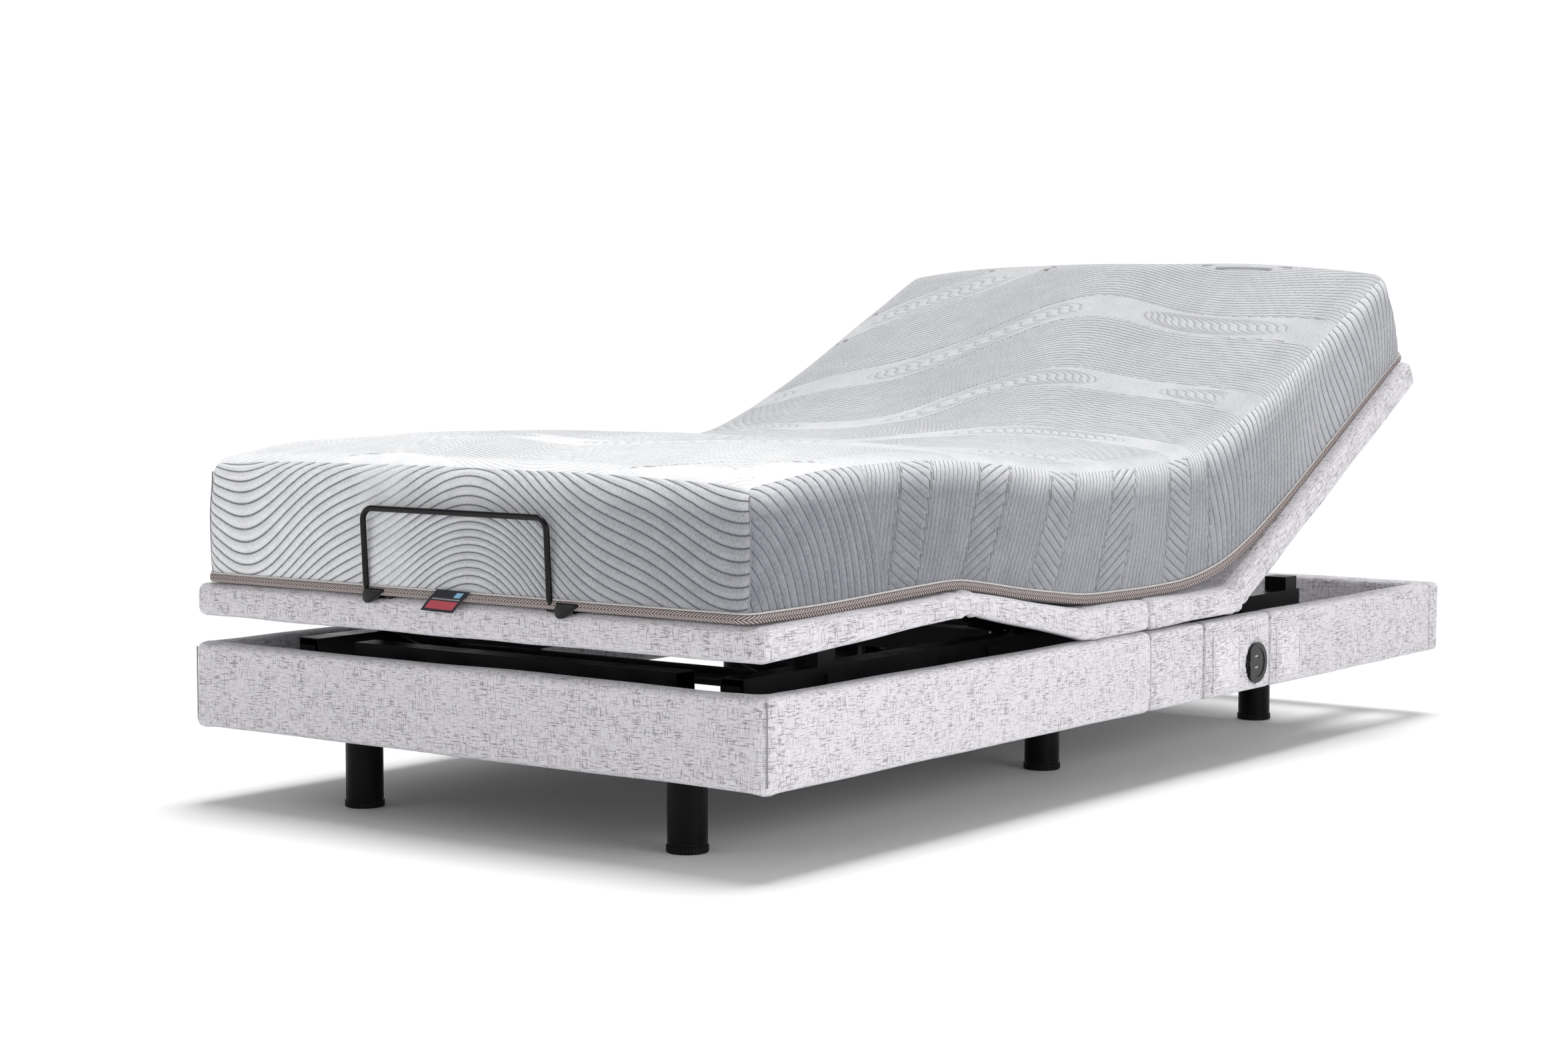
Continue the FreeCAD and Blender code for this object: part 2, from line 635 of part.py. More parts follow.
def leg_glides():
    """Plastic glide under each leg: a knurled foot with a plug inside the tube."""
    glides = []
    for place, side, row in leg_places():
        name = f"glide_{place}"
        body = revolved(name, [
            ("0", "0"),
            ("glide_radius - glide_edge", "0"),
            ("glide_radius", "glide_edge"),
            ("glide_radius", "glide_tall - glide_rim"),
            ("leg_radius - glide_inset", "glide_tall - glide_collar"),
            ("leg_radius - glide_inset", "glide_tall"),
            ("leg_radius - leg_wall - glide_fit", "glide_tall"),
            ("leg_radius - leg_wall - glide_fit", "glide_tall + glide_plug"),
            ("0", "glide_tall + glide_plug"),
        ])
        doc.recompute()
        groove = sketch_on(body, "XY_Plane", name + "Groove")
        groove.addGeometry(Part.Circle(Vector(1, 0, 0), Vector(0, 0, 1), 1))
        groove.addConstraint(Sketcher.Constraint("PointOnObject", 0, 3, -1))
        for kind, ends, formula in (
            ("DistanceX", (-1, 1, 0, 3), "glide_radius"),
            ("Radius", (0,), "knurl_radius"),
        ):
            number = groove.addConstraint(Sketcher.Constraint(kind, *ends, 1.0))
            bind(groove, {f"Constraints[{number}]": formula})
        pocket = body.newObject("PartDesign::Pocket", name + "Knurl")
        pocket.Profile = groove
        pocket.Reversed = True
        bind(pocket, {"Length": "glide_tall - glide_collar"})
        body.Tip = pocket
        ring = body.newObject("PartDesign::PolarPattern", name + "Ring")
        ring.Originals = [pocket]
        ring.Axis = (groove, ["N_Axis"])
        ring.Angle = 360
        bind(ring, {"Occurrences": "knurl_count"})
        body.Tip = ring
        body.Placement = Placement(
            Vector(side * size("leg_side"), size(f"leg_{row}"), 0), Rotation())
        glides.append(body)
    finished("leg_glides", joined("leg_glides", glides))


def hexagon(name, x, y, z, tall):
    item = doc.addObject("Part::Prism", name)
    item.Polygon = 6
    return bind(item, {
        "Circumradius": "bolt_head",
        "Height": tall,
        "Placement.Base.x": x,
        "Placement.Base.y": y,
        "Placement.Base.z": z,
    })


def leg_bolts():
    """Bolt up through the top of each leg, with its nut inside the cross tube."""
    top = "beam_low - tube_size"
    pieces = []
    for place, side, row in leg_places():
        x = f"{side} * leg_side"
        y = f"leg_{row}"
        nut_low = f"{top} + tube_wall"
        pieces.append(fused(f"leg_bolt_{place}", [
            hexagon(f"leg_bolt_head_{place}", x, y, f"{top} - leg_cap - bolt_head_tall",
                    "bolt_head_tall"),
            rod_z(f"leg_bolt_shank_{place}", x, y,
                  (f"{top} - leg_cap", f"{nut_low} + bolt_head_tall + bolt_spare"), "bolt_radius"),
        ]))
        pieces.append(cut(f"leg_nut_{place}", hexagon(
            f"leg_nut_blank_{place}", x, y, nut_low, "bolt_head_tall"), [
            rod_z(f"leg_nut_bore_{place}", x, y, (nut_low, f"{nut_low} + bolt_head_tall"),
                  "bolt_radius")]))
    finished("leg_bolts", joined("leg_bolts", pieces))


# ---------------------------------------------------------------- upholstered rails


def side_lengths():
    """Name, start and end of each length of side rail."""
    return (
        ("foot", "rail_thick - bed_long / 2", "rail_seam_front - seam_gap"),
        ("middle", "rail_seam_front + seam_gap", "rail_seam_middle - seam_gap"),
        ("socket", "rail_seam_middle + seam_gap", "rail_seam_rear - seam_gap"),
        ("head", "rail_seam_rear + seam_gap", "bed_long / 2 - rail_thick"),
    )


def rail_piece(name, x, y, openings):
    """One upholstered length: the padded cover as a shell, and the board inside it."""
    z = ("rail_low", "rail_top")
    inner = [(f"({low}) + padding", f"({high}) - padding") for low, high in (x, y, z)]
    outer = box(name + "Outside", x, y, z)
    soft = rounded(outer, "rail_round")
    finished(name, cut(name, soft, [box(name + "Core", *inner)] + openings("cover")))
    board = box(name + "Board", *inner)
    holes = openings("board")
    return cut(name + "BoardCut", board, holes) if holes else board


def upholstered_rails():
    boards = []
    half_wide = "bed_wide / 2"
    for end, side in (("foot", -1), ("head", 1)):
        y = mirrored(side, "bed_long / 2 - rail_thick", "bed_long / 2")
        boards.append(rail_piece(f"rail_cover_{end}", (f"-{half_wide}", half_wide), y,
                                 lambda layer: []))
    for word, side in SIDES:
        x = mirrored(side, f"{half_wide} - rail_thick", half_wide)
        for part, start, end in side_lengths():
            name = f"rail_cover_{part}_{word}"

            def openings(layer, name=name, x=x, part=part):
                if part != "socket":
                    return []
                return [rod_x(f"{name}{layer}Hole", x, "socket_place", "socket_level",
                              "socket_hole")]

            boards.append(rail_piece(name, x, (start, end), openings))
    finished("rail_boards", joined("rail_boards", boards))


def rail_brackets():
    """Z-shaped brackets that carry the rails on the steel frame."""
    pieces = []
    shelf = ("bracket_level", "bracket_level + bracket_thick")
    for word, side in SIDES:
        for i, y in enumerate(("bracket_foot", "bracket_thigh", "bracket_seat", "bracket_back")):
            span = about(y, "bracket_half")
            inner = "bed_wide / 2 - rail_thick"
            name = f"side_bracket_{word}{i}"
            pieces.append(fused(name, [
                box(name + "Shelf", mirrored(side, "beam_far", inner), span, shelf),
                box(name + "Drop", mirrored(side, f"{inner} - bracket_thick", inner), span,
                    ("bracket_drop", "bracket_level + bracket_thick")),
                box(name + "Root", mirrored(side, "beam_far", "beam_far + bracket_thick"), span,
                    ("bracket_root_low", "bracket_root_high")),
            ]))
        name = f"foot_bracket_{word}"
        x = mirrored(side, "beam_near + bracket_inset", "beam_far - bracket_inset")
        inner = "rail_thick - bed_long / 2"
        pieces.append(fused(name, [
            box(name + "Shelf", x, (inner, "beam_foot_end"), shelf),
            box(name + "Drop", x, (inner, f"{inner} + bracket_thick"),
                ("bracket_drop", "bracket_level + bracket_thick")),
            box(name + "Root", x, ("beam_foot_end - bracket_thick", "beam_foot_end"),
                ("bracket_root_low", "bracket_root_high")),
        ]))
    finished("rail_brackets", joined("rail_brackets", pieces))


def usb_modules():
    """Round module with one flat edge and two ports in a recessed face."""
    pieces = []
    face = "bed_wide / 2"
    for word, side in SIDES:
        name = f"usb_module_{word}"
        front = f"{face} + socket_proud"
        y = "socket_place"
        z = "socket_level"
        body = fused(name + "Blank", [
            rod_x(name + "Bezel", mirrored(side, face, front), y, z, "socket_radius"),
            rod_x(name + "Barrel", mirrored(side, f"{face} - socket_deep", face), y, z,
                  "socket_barrel"),
        ])
        tools = [
            box(name + "Flat", mirrored(side, face, f"{front} + overcut"),
                (f"{y} - socket_radius - overcut", f"{y} - socket_flat"),
                about(z, "socket_radius + overcut")),
            rod_x(name + "Dish", mirrored(side, f"{front} - socket_dish_deep",
                                          f"{front} + overcut"), y, z, "socket_dish"),
        ]
        for i, step in enumerate((-0.5, 0.5)):
            tools.append(box(
                f"{name}Port{i}",
                mirrored(side, f"{front} - socket_dish_deep - port_deep", f"{front} + overcut"),
                about(y, "port_wide / 2"),
                about(f"{z} + {step} * port_pitch", "port_tall / 2")))
        pieces.append(cut(name, body, tools))
    finished("usb_modules", joined("usb_modules", pieces))


def side_patches():
    pieces = []
    for word, side in SIDES:
        x = mirrored(side, "bed_wide / 2", "bed_wide / 2 + patch_thick")
        for part in ("front", "rear"):
            pieces.append(box(f"side_patch_{part}_{word}", x,
                              (f"patch_{part}_start", f"patch_{part}_end"),
                              ("patch_low", "patch_high")))
    finished("side_patches", joined("side_patches", pieces))


# ---------------------------------------------------------------- deck sections

REST = {
    "back": lambda: hinged(size("back_hinge"), size("hinge_level"), size("back_angle")),
    "thigh": lambda: hinged(size("thigh_hinge"), size("hinge_level"), -size("thigh_angle")),
}


def foot_rest():
    """The foot section turns about the knee, and the knee goes up with the thigh."""
    knee = hinged(size("knee_hinge"), size("knee_level"),
                  size("knee_ratio") * size("thigh_angle"))
    return REST["thigh"]().multiply(knee)


def rise(bevel, level):
    """How far a sloping soft face has moved away from its hinge at a height."""
    return f"fold_gap + ({level} - hinge_level) * tan({bevel})"


def hinge_face(hinge, direction, bevel, top):
    """Corners of a soft face beside a deck hinge, from the underside up."""
    return [
        (f"{hinge} + {direction} * fold_gap", "deck_low"),
        (f"{hinge} + {direction} * fold_gap", "hinge_level"),
        (f"{hinge} + {direction} * ({rise(bevel, top)})", top),
    ]


def knee_face(direction):
    """Corners of a cover's soft face beside the knee, from the underside up."""
    return [
        (f"knee_hinge + {direction} * (fold_gap + (knee_level - deck_low) * tan(knee_bevel))",
         "deck_low"),
        (f"knee_hinge + {direction} * fold_gap", "knee_level"),
        (f"knee_hinge + {direction} * fold_gap", "deck_top"),
    ]


def plain_face(place, top="deck_top", low="deck_low"):
    return [(place, low), (place, top)]


def section_cover(name, front, rear, recess, board):
    """Padded cover of one section, open below for the steel and hollow for its board."""
    blank = profile(name + "_pad", "deck_half", front + list(reversed(rear)))
    return cut(name, blank, [
        box(name + "Recess", ("-recess_half", "recess_half"), recess,
            ("deck_low - overcut", "board_low")),
        box(name + "Pocket", ("-board_half", "board_half"), board, ("board_low", "board_top")),
    ])


def section_board(name, span):
    blank = box(name + "Blank", ("-board_half", "board_half"), span, ("board_low", "board_top"))
    return joined(name, [blank])


BOARD_SPANS = {
    "back": ("back_hinge + back_setback", "back_end - board_inset"),
    "seat_rear": ("base_split + split_gap + board_inset", "back_hinge - back_setback"),
    "seat_front": ("thigh_hinge + thigh_setback", "base_split - split_gap - board_inset"),
    "thigh": ("knee_hinge + knee_setback", "thigh_hinge - thigh_setback"),
    "foot": ("foot_end + board_inset", "knee_hinge - knee_setback"),
}


def deck_covers():
    back = section_cover(
        "back_cover", hinge_face("back_hinge", 1, "back_bevel", "deck_top"),
        plain_face("back_end"), ("back_hinge - overcut", "back_end - border"), BOARD_SPANS["back"])
    finished("back_cover", back, REST["back"]())
    thigh = section_cover(
        "thigh_cover", knee_face(1), hinge_face("thigh_hinge", -1, "thigh_bevel", "deck_top"),
        ("knee_hinge - overcut", "thigh_hinge + overcut"), BOARD_SPANS["thigh"])
    finished("thigh_cover", thigh, REST["thigh"]())
    foot = section_cover(
        "foot_cover", plain_face("foot_end"), knee_face(-1),
        ("foot_end + border", "knee_hinge + overcut"), BOARD_SPANS["foot"])
    finished("foot_cover", foot, foot_rest())
    halves = [
        section_cover("seat_cover_front",
                      hinge_face("thigh_hinge", 1, "thigh_bevel", "deck_top"),
                      plain_face("base_split - split_gap"),
                      ("thigh_hinge - overcut", "base_split"), BOARD_SPANS["seat_front"]),
        section_cover("seat_cover_rear", plain_face("base_split + split_gap"),
                      hinge_face("back_hinge", -1, "back_bevel", "deck_top"),
                      ("base_split", "back_hinge + overcut"), BOARD_SPANS["seat_rear"]),
    ]
    finished("seat_covers", joined("seat_covers", halves))


def deck_boards():
    finished("back_board", section_board("back_board", BOARD_SPANS["back"]), REST["back"]())
    finished("thigh_board", section_board("thigh_board", BOARD_SPANS["thigh"]), REST["thigh"]())
    finished("foot_board", section_board("foot_board", BOARD_SPANS["foot"]), foot_rest())
    finished("seat_boards", joined("seat_boards", [
        section_board("seat_board_front", BOARD_SPANS["seat_front"]),
        section_board("seat_board_rear", BOARD_SPANS["seat_rear"]),
    ]))


# ---------------------------------------------------------------- steel frames of the sections


FRAME_DEPTH = "(board_low - frame_low)"


def long_tubes(name, span):
    level = ("frame_low", "board_low")
    return [square_tube(f"{name}_long_{word}", "y", mirrored(side, "frame_near", "frame_far"),
                        span, level, "frame_wall") for word, side in SIDES]


def cross_tube(name, front):
    """Square tube between the long tubes of a section, from its front face."""
    return square_tube(name, "x", ("-frame_near", "frame_near"),
                       (front, f"{front} + {FRAME_DEPTH}"),
                       ("frame_low", "board_low"), "frame_wall")


def main_lugs(name, hinge, direction):
    """Lug outside each long tube, running on the main hinge pin."""
    lugs = []
    for word, side in SIDES:
        x = mirrored(side, "frame_far", "frame_far + lug_thick")
        y = (hinge, f"{hinge} + lug_long") if direction > 0 else (f"{hinge} - lug_long", hinge)
        part = f"{name}_{word}"
        blank = fused(part + "Blank", [
            box(part + "Bar", x, y, ("frame_low - lug_drop", "board_low - lug_drop")),
            rod_x(part + "Round", x, hinge, "hinge_level", "lug_radius"),
        ])
        bore = rod_x(part + "Bore", x, hinge, "hinge_level", "pin_radius + pin_running")
        lugs.append(cut(part, blank, [bore]))
    return lugs


def crank(name, hinge, direction, travel, slot_half, tube_face, side):
    """Pair of plates below a hinge, slotted for the pin of a push rod."""
    tilt = f"({travel} / 2)"
    far = f"(crank_arm / cos({tilt}) + slot_spare)"
    near = "(crank_arm - slot_spare)"
    lean = Rotation(X_AXIS, -direction * size(travel) / 2)
    hub = Vector(0, size(hinge), size("hinge_level"))
    plates = []
    for ear, (low, high) in enumerate((("crank_near", "crank_far"),
                                       ("-crank_far", "-crank_near"))):
        part = f"{name}{ear}"
        x = (f"{side} * motor_side + {low}", f"{side} * motor_side + {high}")
        arm = cut(part + "Arm", box(
            part + "Plate", x, about(hinge, "crank_half"),
            (f"hinge_level - {far} - crank_end", "hinge_level + crank_head")), [
            box(part + "Slot", x, about(hinge, slot_half),
                (f"hinge_level - {far}", f"hinge_level - {near}")),
            rod_x(part + "SlotLow", x, hinge, f"hinge_level - {far}", slot_half),
            rod_x(part + "SlotHigh", x, hinge, f"hinge_level - {near}", slot_half),
        ])
        arm.Placement = Placement(Vector(), lean, hub)
        foot_span = (f"{hinge} - crank_foot_back", tube_face)
        if direction < 0:
            foot_span = (tube_face, f"{hinge} + crank_foot_back")
        foot = box(part + "Foot", x, foot_span, ("crank_foot_low", "crank_foot_high"))
        plates.append(fused(part, [arm, foot]))
    return plates


def back_frame():
    pieces = long_tubes("back", ("back_hinge + frame_start", "back_end - frame_stop"))
    last = f"back_end - frame_stop - {FRAME_DEPTH}"
    for i, front in enumerate(("back_crank_tube", "back_cross_middle", last)):
        pieces.append(cross_tube(f"back_cross{i}", front))
    pieces += main_lugs("back_lug", "back_hinge", 1)
    pieces += crank("back_crank", "back_hinge", 1, "back_travel", "back_slot_half",
                    "back_crank_tube", 1)
    finished("back_frame", joined("back_frame", pieces), REST["back"]())


def knee_lugs(name, x_span, direction, bore_radius):
    lugs = []
    for word, side in SIDES:
        x = mirrored(side, *x_span)
        y = ("knee_hinge", "knee_hinge + knee_lug_long")
        if direction < 0:
            y = ("knee_hinge - knee_lug_long", "knee_hinge")
        part = f"{name}_{word}"
        blank = fused(part + "Blank", [
            box(part + "Bar", x, y, ("frame_low", "board_low")),
            rod_x(part + "Round", x, "knee_hinge", "knee_level", "knee_lug_radius"),
        ])
        lugs.append(cut(part, blank, [rod_x(part + "Bore", x, "knee_hinge", "knee_level",
                                            bore_radius)]))
    return lugs


def thigh_frame():
    pieces = long_tubes("thigh", ("knee_hinge + knee_start", "thigh_hinge - frame_start"))
    rear = f"thigh_crank_tube - {FRAME_DEPTH}"
    for i, front in enumerate((rear, "knee_hinge + thigh_cross_place")):
        pieces.append(cross_tube(f"thigh_cross{i}", front))
    pieces += main_lugs("thigh_lug", "thigh_hinge", -1)
    pieces += knee_lugs("thigh_knee_lug", ("frame_near - lug_thick", "frame_near"), 1, "knee_pin")
    pieces += crank("thigh_crank", "thigh_hinge", -1, "thigh_travel", "thigh_slot_half",
                    "thigh_crank_tube", -1)
    finished("thigh_frame", joined("thigh_frame", pieces), REST["thigh"]())


def knee_pins():
    pins = []
    for word, side in SIDES:
        name = f"knee_pin_{word}"
        inner = "frame_near - lug_thick"
        outside = f"{inner} - knee_pin_head_tall"
        head = mirrored(side, outside, inner)
        shank = mirrored(side, outside, "frame_far + lug_thick + knee_pin_spare")
        pins.append(fused(name, [
            rod_x(name + "Head", head, "knee_hinge", "knee_level", "knee_pin_head"),
            rod_x(name + "Shank", shank, "knee_hinge", "knee_level", "knee_pin"),
        ]))
    finished("knee_pins", joined("knee_pins", pins), REST["thigh"]())


def foot_frame():
    pieces = long_tubes("foot", ("foot_end + frame_stop", "knee_hinge - knee_start"))
    fronts = ("foot_end + frame_stop", "foot_cross_middle", "knee_hinge - foot_cross_place")
    for i, front in enumerate(fronts):
        pieces.append(cross_tube(f"foot_cross{i}", front))
    pieces += knee_lugs("foot_knee_lug", ("frame_far", "frame_far + lug_thick"), -1,
                        "knee_pin + pin_running")
    for word, side in SIDES:
        x = mirrored(side, "frame_near - lug_thick", "frame_near")
        name = f"link_lug_{word}"
        blank = fused(name + "Blank", [
            rod_x(name + "Round", x, "link_eye", "link_eye_level", "link_lug_radius"),
            box(name + "Root", x, about("link_eye", "link_lug_radius"),
                ("link_eye_level", "board_low")),
        ])
        pieces.append(cut(name, blank, [rod_x(name + "Hole", x, "link_eye", "link_eye_level",
                                              "link_eye_hole")]))
    finished("foot_frame", joined("foot_frame", pieces), foot_rest())


def foot_support_links():
    """Cross shaft in the hinge plates with two links up to the foot section."""
    y = "link_pivot"
    z = "link_level"
    pieces = [fused("link_shaft", [
        rod_x("link_shaft_middle", ("-plate_near + shaft_gap", "plate_near - shaft_gap"), y, z,
              "shaft_radius"),
        rod_x("link_shaft_journals", ("-beam_near", "beam_near"), y, z, "journal_radius"),
    ])]
    for word, side in SIDES:
        x = mirrored(side, "link_near", "link_far")
        name = f"support_link_{word}"
        eye = "link_pivot - link_long"
        blank = fused(name + "Blank", [
            box(name + "Bar", x, (eye, y), about(z, "link_half")),
            rod_x(name + "Boss", x, y, z, "link_boss"),
            rod_x(name + "Eye", x, eye, z, "link_half"),
            rod_x(name + "Pin", mirrored(side, "link_far", "frame_near - link_pin_gap"), eye, z,
                  "rod_pin"),
        ])
        pieces.append(cut(name, blank, [rod_x(name + "Bore", x, y, z, "shaft_radius")]))
    finished("foot_support_links", joined("foot_support_links", pieces),
             hinged(size("link_pivot"), size("link_level"), -size("link_angle")))


# ---------------------------------------------------------------- motors and electrics


def motors():
    """Two linear motors, the head one to the right and the foot one to the left."""
    for name, place, side, way in (
        ("head_motor", "motor_tube_front", 1, 1),
        ("foot_motor", "motor_tube_rear", -1, -1),
    ):
        x = f"{side} * motor_side"
        z = "motor_level"
        case_back = f"{place} + {way} * motor_neck"
        case_front = f"{case_back} + {way} * motor_case_long"
        tube_front = f"{case_front} + {way} * motor_tube_long"
        spans = [(place, case_back), (case_back, case_front), (case_front, tube_front)]
        neck, case, tube = spans if way > 0 else [(high, low) for low, high in spans]
        can_y = f"{case_front} - {way} * motor_can_set"
        can_x = mirrored(side, "motor_side + motor_case_half",
                         "motor_side + motor_case_half + motor_can_long")
        outside = fused(name + "Solid", [
            rod_x(name + "Eye", about(x, "rod_eye"), place, z, "rod_eye"),
            rod_x(name + "Pin", about(x, "clevis_near + lug_thick + rod_pin_spare"), place, z,
                  "rod_pin"),
            box(name + "Neck", about(x, "motor_neck_half"), neck, about(z, "motor_neck_tall")),
            box(name + "Case", about(x, "motor_case_half"), case, about(z, "motor_case_half")),
            rod_y(name + "Tube", x, tube, z, "motor_tube_radius"),
            rod_x(name + "Can", can_x, can_y, z, "motor_can_radius"),
        ])
        finished(name, cut(name, outside, [rod_y(name + "Bore", x, tube, z, "rod_bore")]))


def push_rods():
    for name, hinge, start, side, way, lean in (
        ("head_motor_rod", "back_hinge", "head_rod_start", 1, 1,
         "(back_angle - back_travel / 2)"),
        ("foot_motor_rod", "thigh_hinge", "foot_rod_start", -1, -1,
         "(thigh_angle - thigh_travel / 2)"),
    ):
        x = f"{side} * motor_side"
        z = "motor_level"
        pin = f"({hinge} + {way} * crank_arm * tan{lean})"
        bar = (start, f"{pin} - {way} * rod_neck")
        neck = (f"{pin} - {way} * rod_neck", pin)
        if way < 0:
            bar = (bar[1], bar[0])
            neck = (neck[1], neck[0])
        finished(name, fused(name, [
            rod_y(name + "Bar", x, bar, z, "rod_radius"),
            box(name + "Neck", about(x, "rod_eye_half"), neck, about(z, "rod_neck_half")),
            rod_x(name + "Eye", about(x, "rod_eye_half"), pin, z, "rod_eye"),
            rod_x(name + "Pin", about(x, "crank_far + rod_pin_spare"), pin, z, "rod_pin"),
        ]))


def electric_boxes():
    for name, side in (("control_box", -1), ("power_supply", 1)):
        blank = box(name + "Blank", mirrored(side, "box_near", "beam_near"),
                    ("box_start", "box_end"), ("box_low", "box_high"))
        recess = box(name + "Inlet",
                     mirrored(side, "box_near - overcut", "box_near + inlet_deep"),
                     about("(box_start + box_end) / 2", "inlet_half"),
                     about("(box_low + box_high) / 2", "inlet_tall"))
        finished(name, cut(name, rounded(blank, "box_round"), [recess]))


# ---------------------------------------------------------------- mattress and retainer


def mattress():
    low = "mattress_low"
    top = "mattress_top"
    crown = "mattress_seat_top"

    def sloped(hinge, direction, bevel, high):
        return [(f"{hinge} + {direction} * ({rise(bevel, level)})", level)
                for level in (low, high)]

    back = profile("mattress_back", "mattress_half",
                   sloped("back_hinge", 1, "back_bevel", top)
                   + list(reversed(plain_face("back_end - mattress_inset", top, low))))
    finished("mattress_back", back, REST["back"]())
    seat = profile("mattress_seat", "mattress_half",
                   sloped("thigh_hinge", 1, "thigh_bevel", crown)
                   + list(reversed(sloped("back_hinge", -1, "back_bevel", crown))))
    finished("mattress_seat", seat)
    thigh = profile("mattress_thigh", "mattress_half",
                    plain_face("knee_hinge + fold_gap", top, low)
                    + list(reversed(sloped("thigh_hinge", -1, "thigh_bevel", top))))
    finished("mattress_thigh", thigh, REST["thigh"]())
    foot = profile("mattress_foot_pad", "mattress_half",
                   plain_face("foot_end + mattress_inset", top, low)
                   + list(reversed(plain_face("knee_hinge - fold_gap", top, low))))
    relief = box("mattress_relief",
                 ("-retainer_half - relief_near", "retainer_half + wedge_far + relief_gap"),
                 ("foot_end", "relief_end"), ("mattress_low - overcut", "relief_high"))
    finished("mattress_foot", cut("mattress_foot", foot, [relief]), foot_rest())


def wire_path():
    """Centre line of the retainer: two tails on the deck, two uprights and a top bar."""
    half = size("retainer_half")
    plane = size("retainer_plane")
    low = size("retainer_low")
    top = size("retainer_top")
    bend = size("retainer_bend")
    tail = size("retainer_tail")
    corners = [
        Vector(-half, tail, low),
        Vector(-half, plane, low),
        Vector(-half, plane, top),
        Vector(half, plane, top),
        Vector(half, plane, low),
        Vector(half, tail, low),
    ]
    edges = []
    start = corners[0]
    for before, corner, after in zip(corners, corners[1:], corners[2:]):
        arrive = (corner - before).normalize()
        leave = (after - corner).normalize()
        enter = corner - arrive * bend
        exit_point = corner + leave * bend
        middle = corner + (leave - arrive) * bend * (1 - math.sqrt(0.5))
        edges.append(Part.LineSegment(start, enter).toShape())
        edges.append(Part.Arc(enter, middle, exit_point).toShape())
        start = exit_point
    edges.append(Part.LineSegment(start, corners[-1]).toShape())
    return Part.Wire(edges), corners[0]


def mattress_retainer():
    path, first = wire_path()
    ring = Part.Wire(Part.makeCircle(size("retainer_wire"), first, Vector(0, 1, 0)))
    wire = doc.addObject("Part::Feature", "retainer_wire")
    wire.Shape = path.makePipeShell([ring], True, False)
    pieces = [wire]
    for word, side in SIDES:
        x = (f"{side} * retainer_half + wedge_near", f"{side} * retainer_half + wedge_far")
        pieces.append(box(f"retainer_wedge_{word}", x, ("wedge_start", "wedge_end"),
                          ("wedge_low", "wedge_high")))
    finished("mattress_retainer", fused("mattress_retainer", pieces), foot_rest())


# ---------------------------------------------------------------- build, check and export


def build():
    for step in (
        side_beams, foot_cross_tube, head_cross_frame, middle_leg_brackets, motor_tubes,
        splice_plates, hinge_plates, hinge_pins, deck_supports, legs, leg_glides, leg_bolts,
        upholstered_rails, rail_brackets, usb_modules, side_patches, deck_covers, deck_boards,
        back_frame, thigh_frame, knee_pins, foot_frame, foot_support_links, motors, push_rods,
        electric_boxes, mattress, mattress_retainer,
    ):
        step()
    doc.recompute()


def check():
    """Stops if any object failed or any sub-part has no valid shape."""
    for item in doc.Objects:
        if "Invalid" in item.State or "Error" in item.State:
            raise RuntimeError(f"{item.Name} failed: {item.State}")
    for label, item in nodes.items():
        if item.Shape.isNull() or not item.Shape.isValid() or not item.Shape.Solids:
            raise RuntimeError(f"{label} has no valid shape")


def export():
    os.makedirs("parts", exist_ok=True)
    for label, item in nodes.items():
        item.Shape.exportStep(f"parts/{label}.step")
        print(f"{label}: {len(item.Shape.Solids)} solid(s), {item.Shape.Volume / 1e3:.0f} cm3")


build()
check()
export()
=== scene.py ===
"""Looks of the adjustable bed base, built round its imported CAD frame."""

import json
import math

import bpy
import numpy as np
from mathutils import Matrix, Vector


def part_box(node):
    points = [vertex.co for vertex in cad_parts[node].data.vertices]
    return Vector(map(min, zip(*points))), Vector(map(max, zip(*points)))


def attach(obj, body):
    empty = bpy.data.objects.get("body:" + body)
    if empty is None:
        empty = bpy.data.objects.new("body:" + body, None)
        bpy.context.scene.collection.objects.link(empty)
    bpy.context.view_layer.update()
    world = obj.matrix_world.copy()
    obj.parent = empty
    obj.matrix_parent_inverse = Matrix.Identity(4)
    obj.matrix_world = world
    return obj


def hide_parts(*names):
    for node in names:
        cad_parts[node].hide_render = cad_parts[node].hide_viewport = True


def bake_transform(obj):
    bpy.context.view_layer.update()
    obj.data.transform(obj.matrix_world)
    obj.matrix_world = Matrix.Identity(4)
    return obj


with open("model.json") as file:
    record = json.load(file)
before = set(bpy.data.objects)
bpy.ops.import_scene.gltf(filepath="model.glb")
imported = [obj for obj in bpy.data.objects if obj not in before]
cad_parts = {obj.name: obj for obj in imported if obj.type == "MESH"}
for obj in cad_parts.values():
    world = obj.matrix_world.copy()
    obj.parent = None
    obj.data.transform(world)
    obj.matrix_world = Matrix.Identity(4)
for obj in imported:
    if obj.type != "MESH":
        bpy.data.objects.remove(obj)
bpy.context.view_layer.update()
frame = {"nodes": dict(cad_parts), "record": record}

NODES = frame["nodes"]


# ---------------------------------------------------------------- node materials


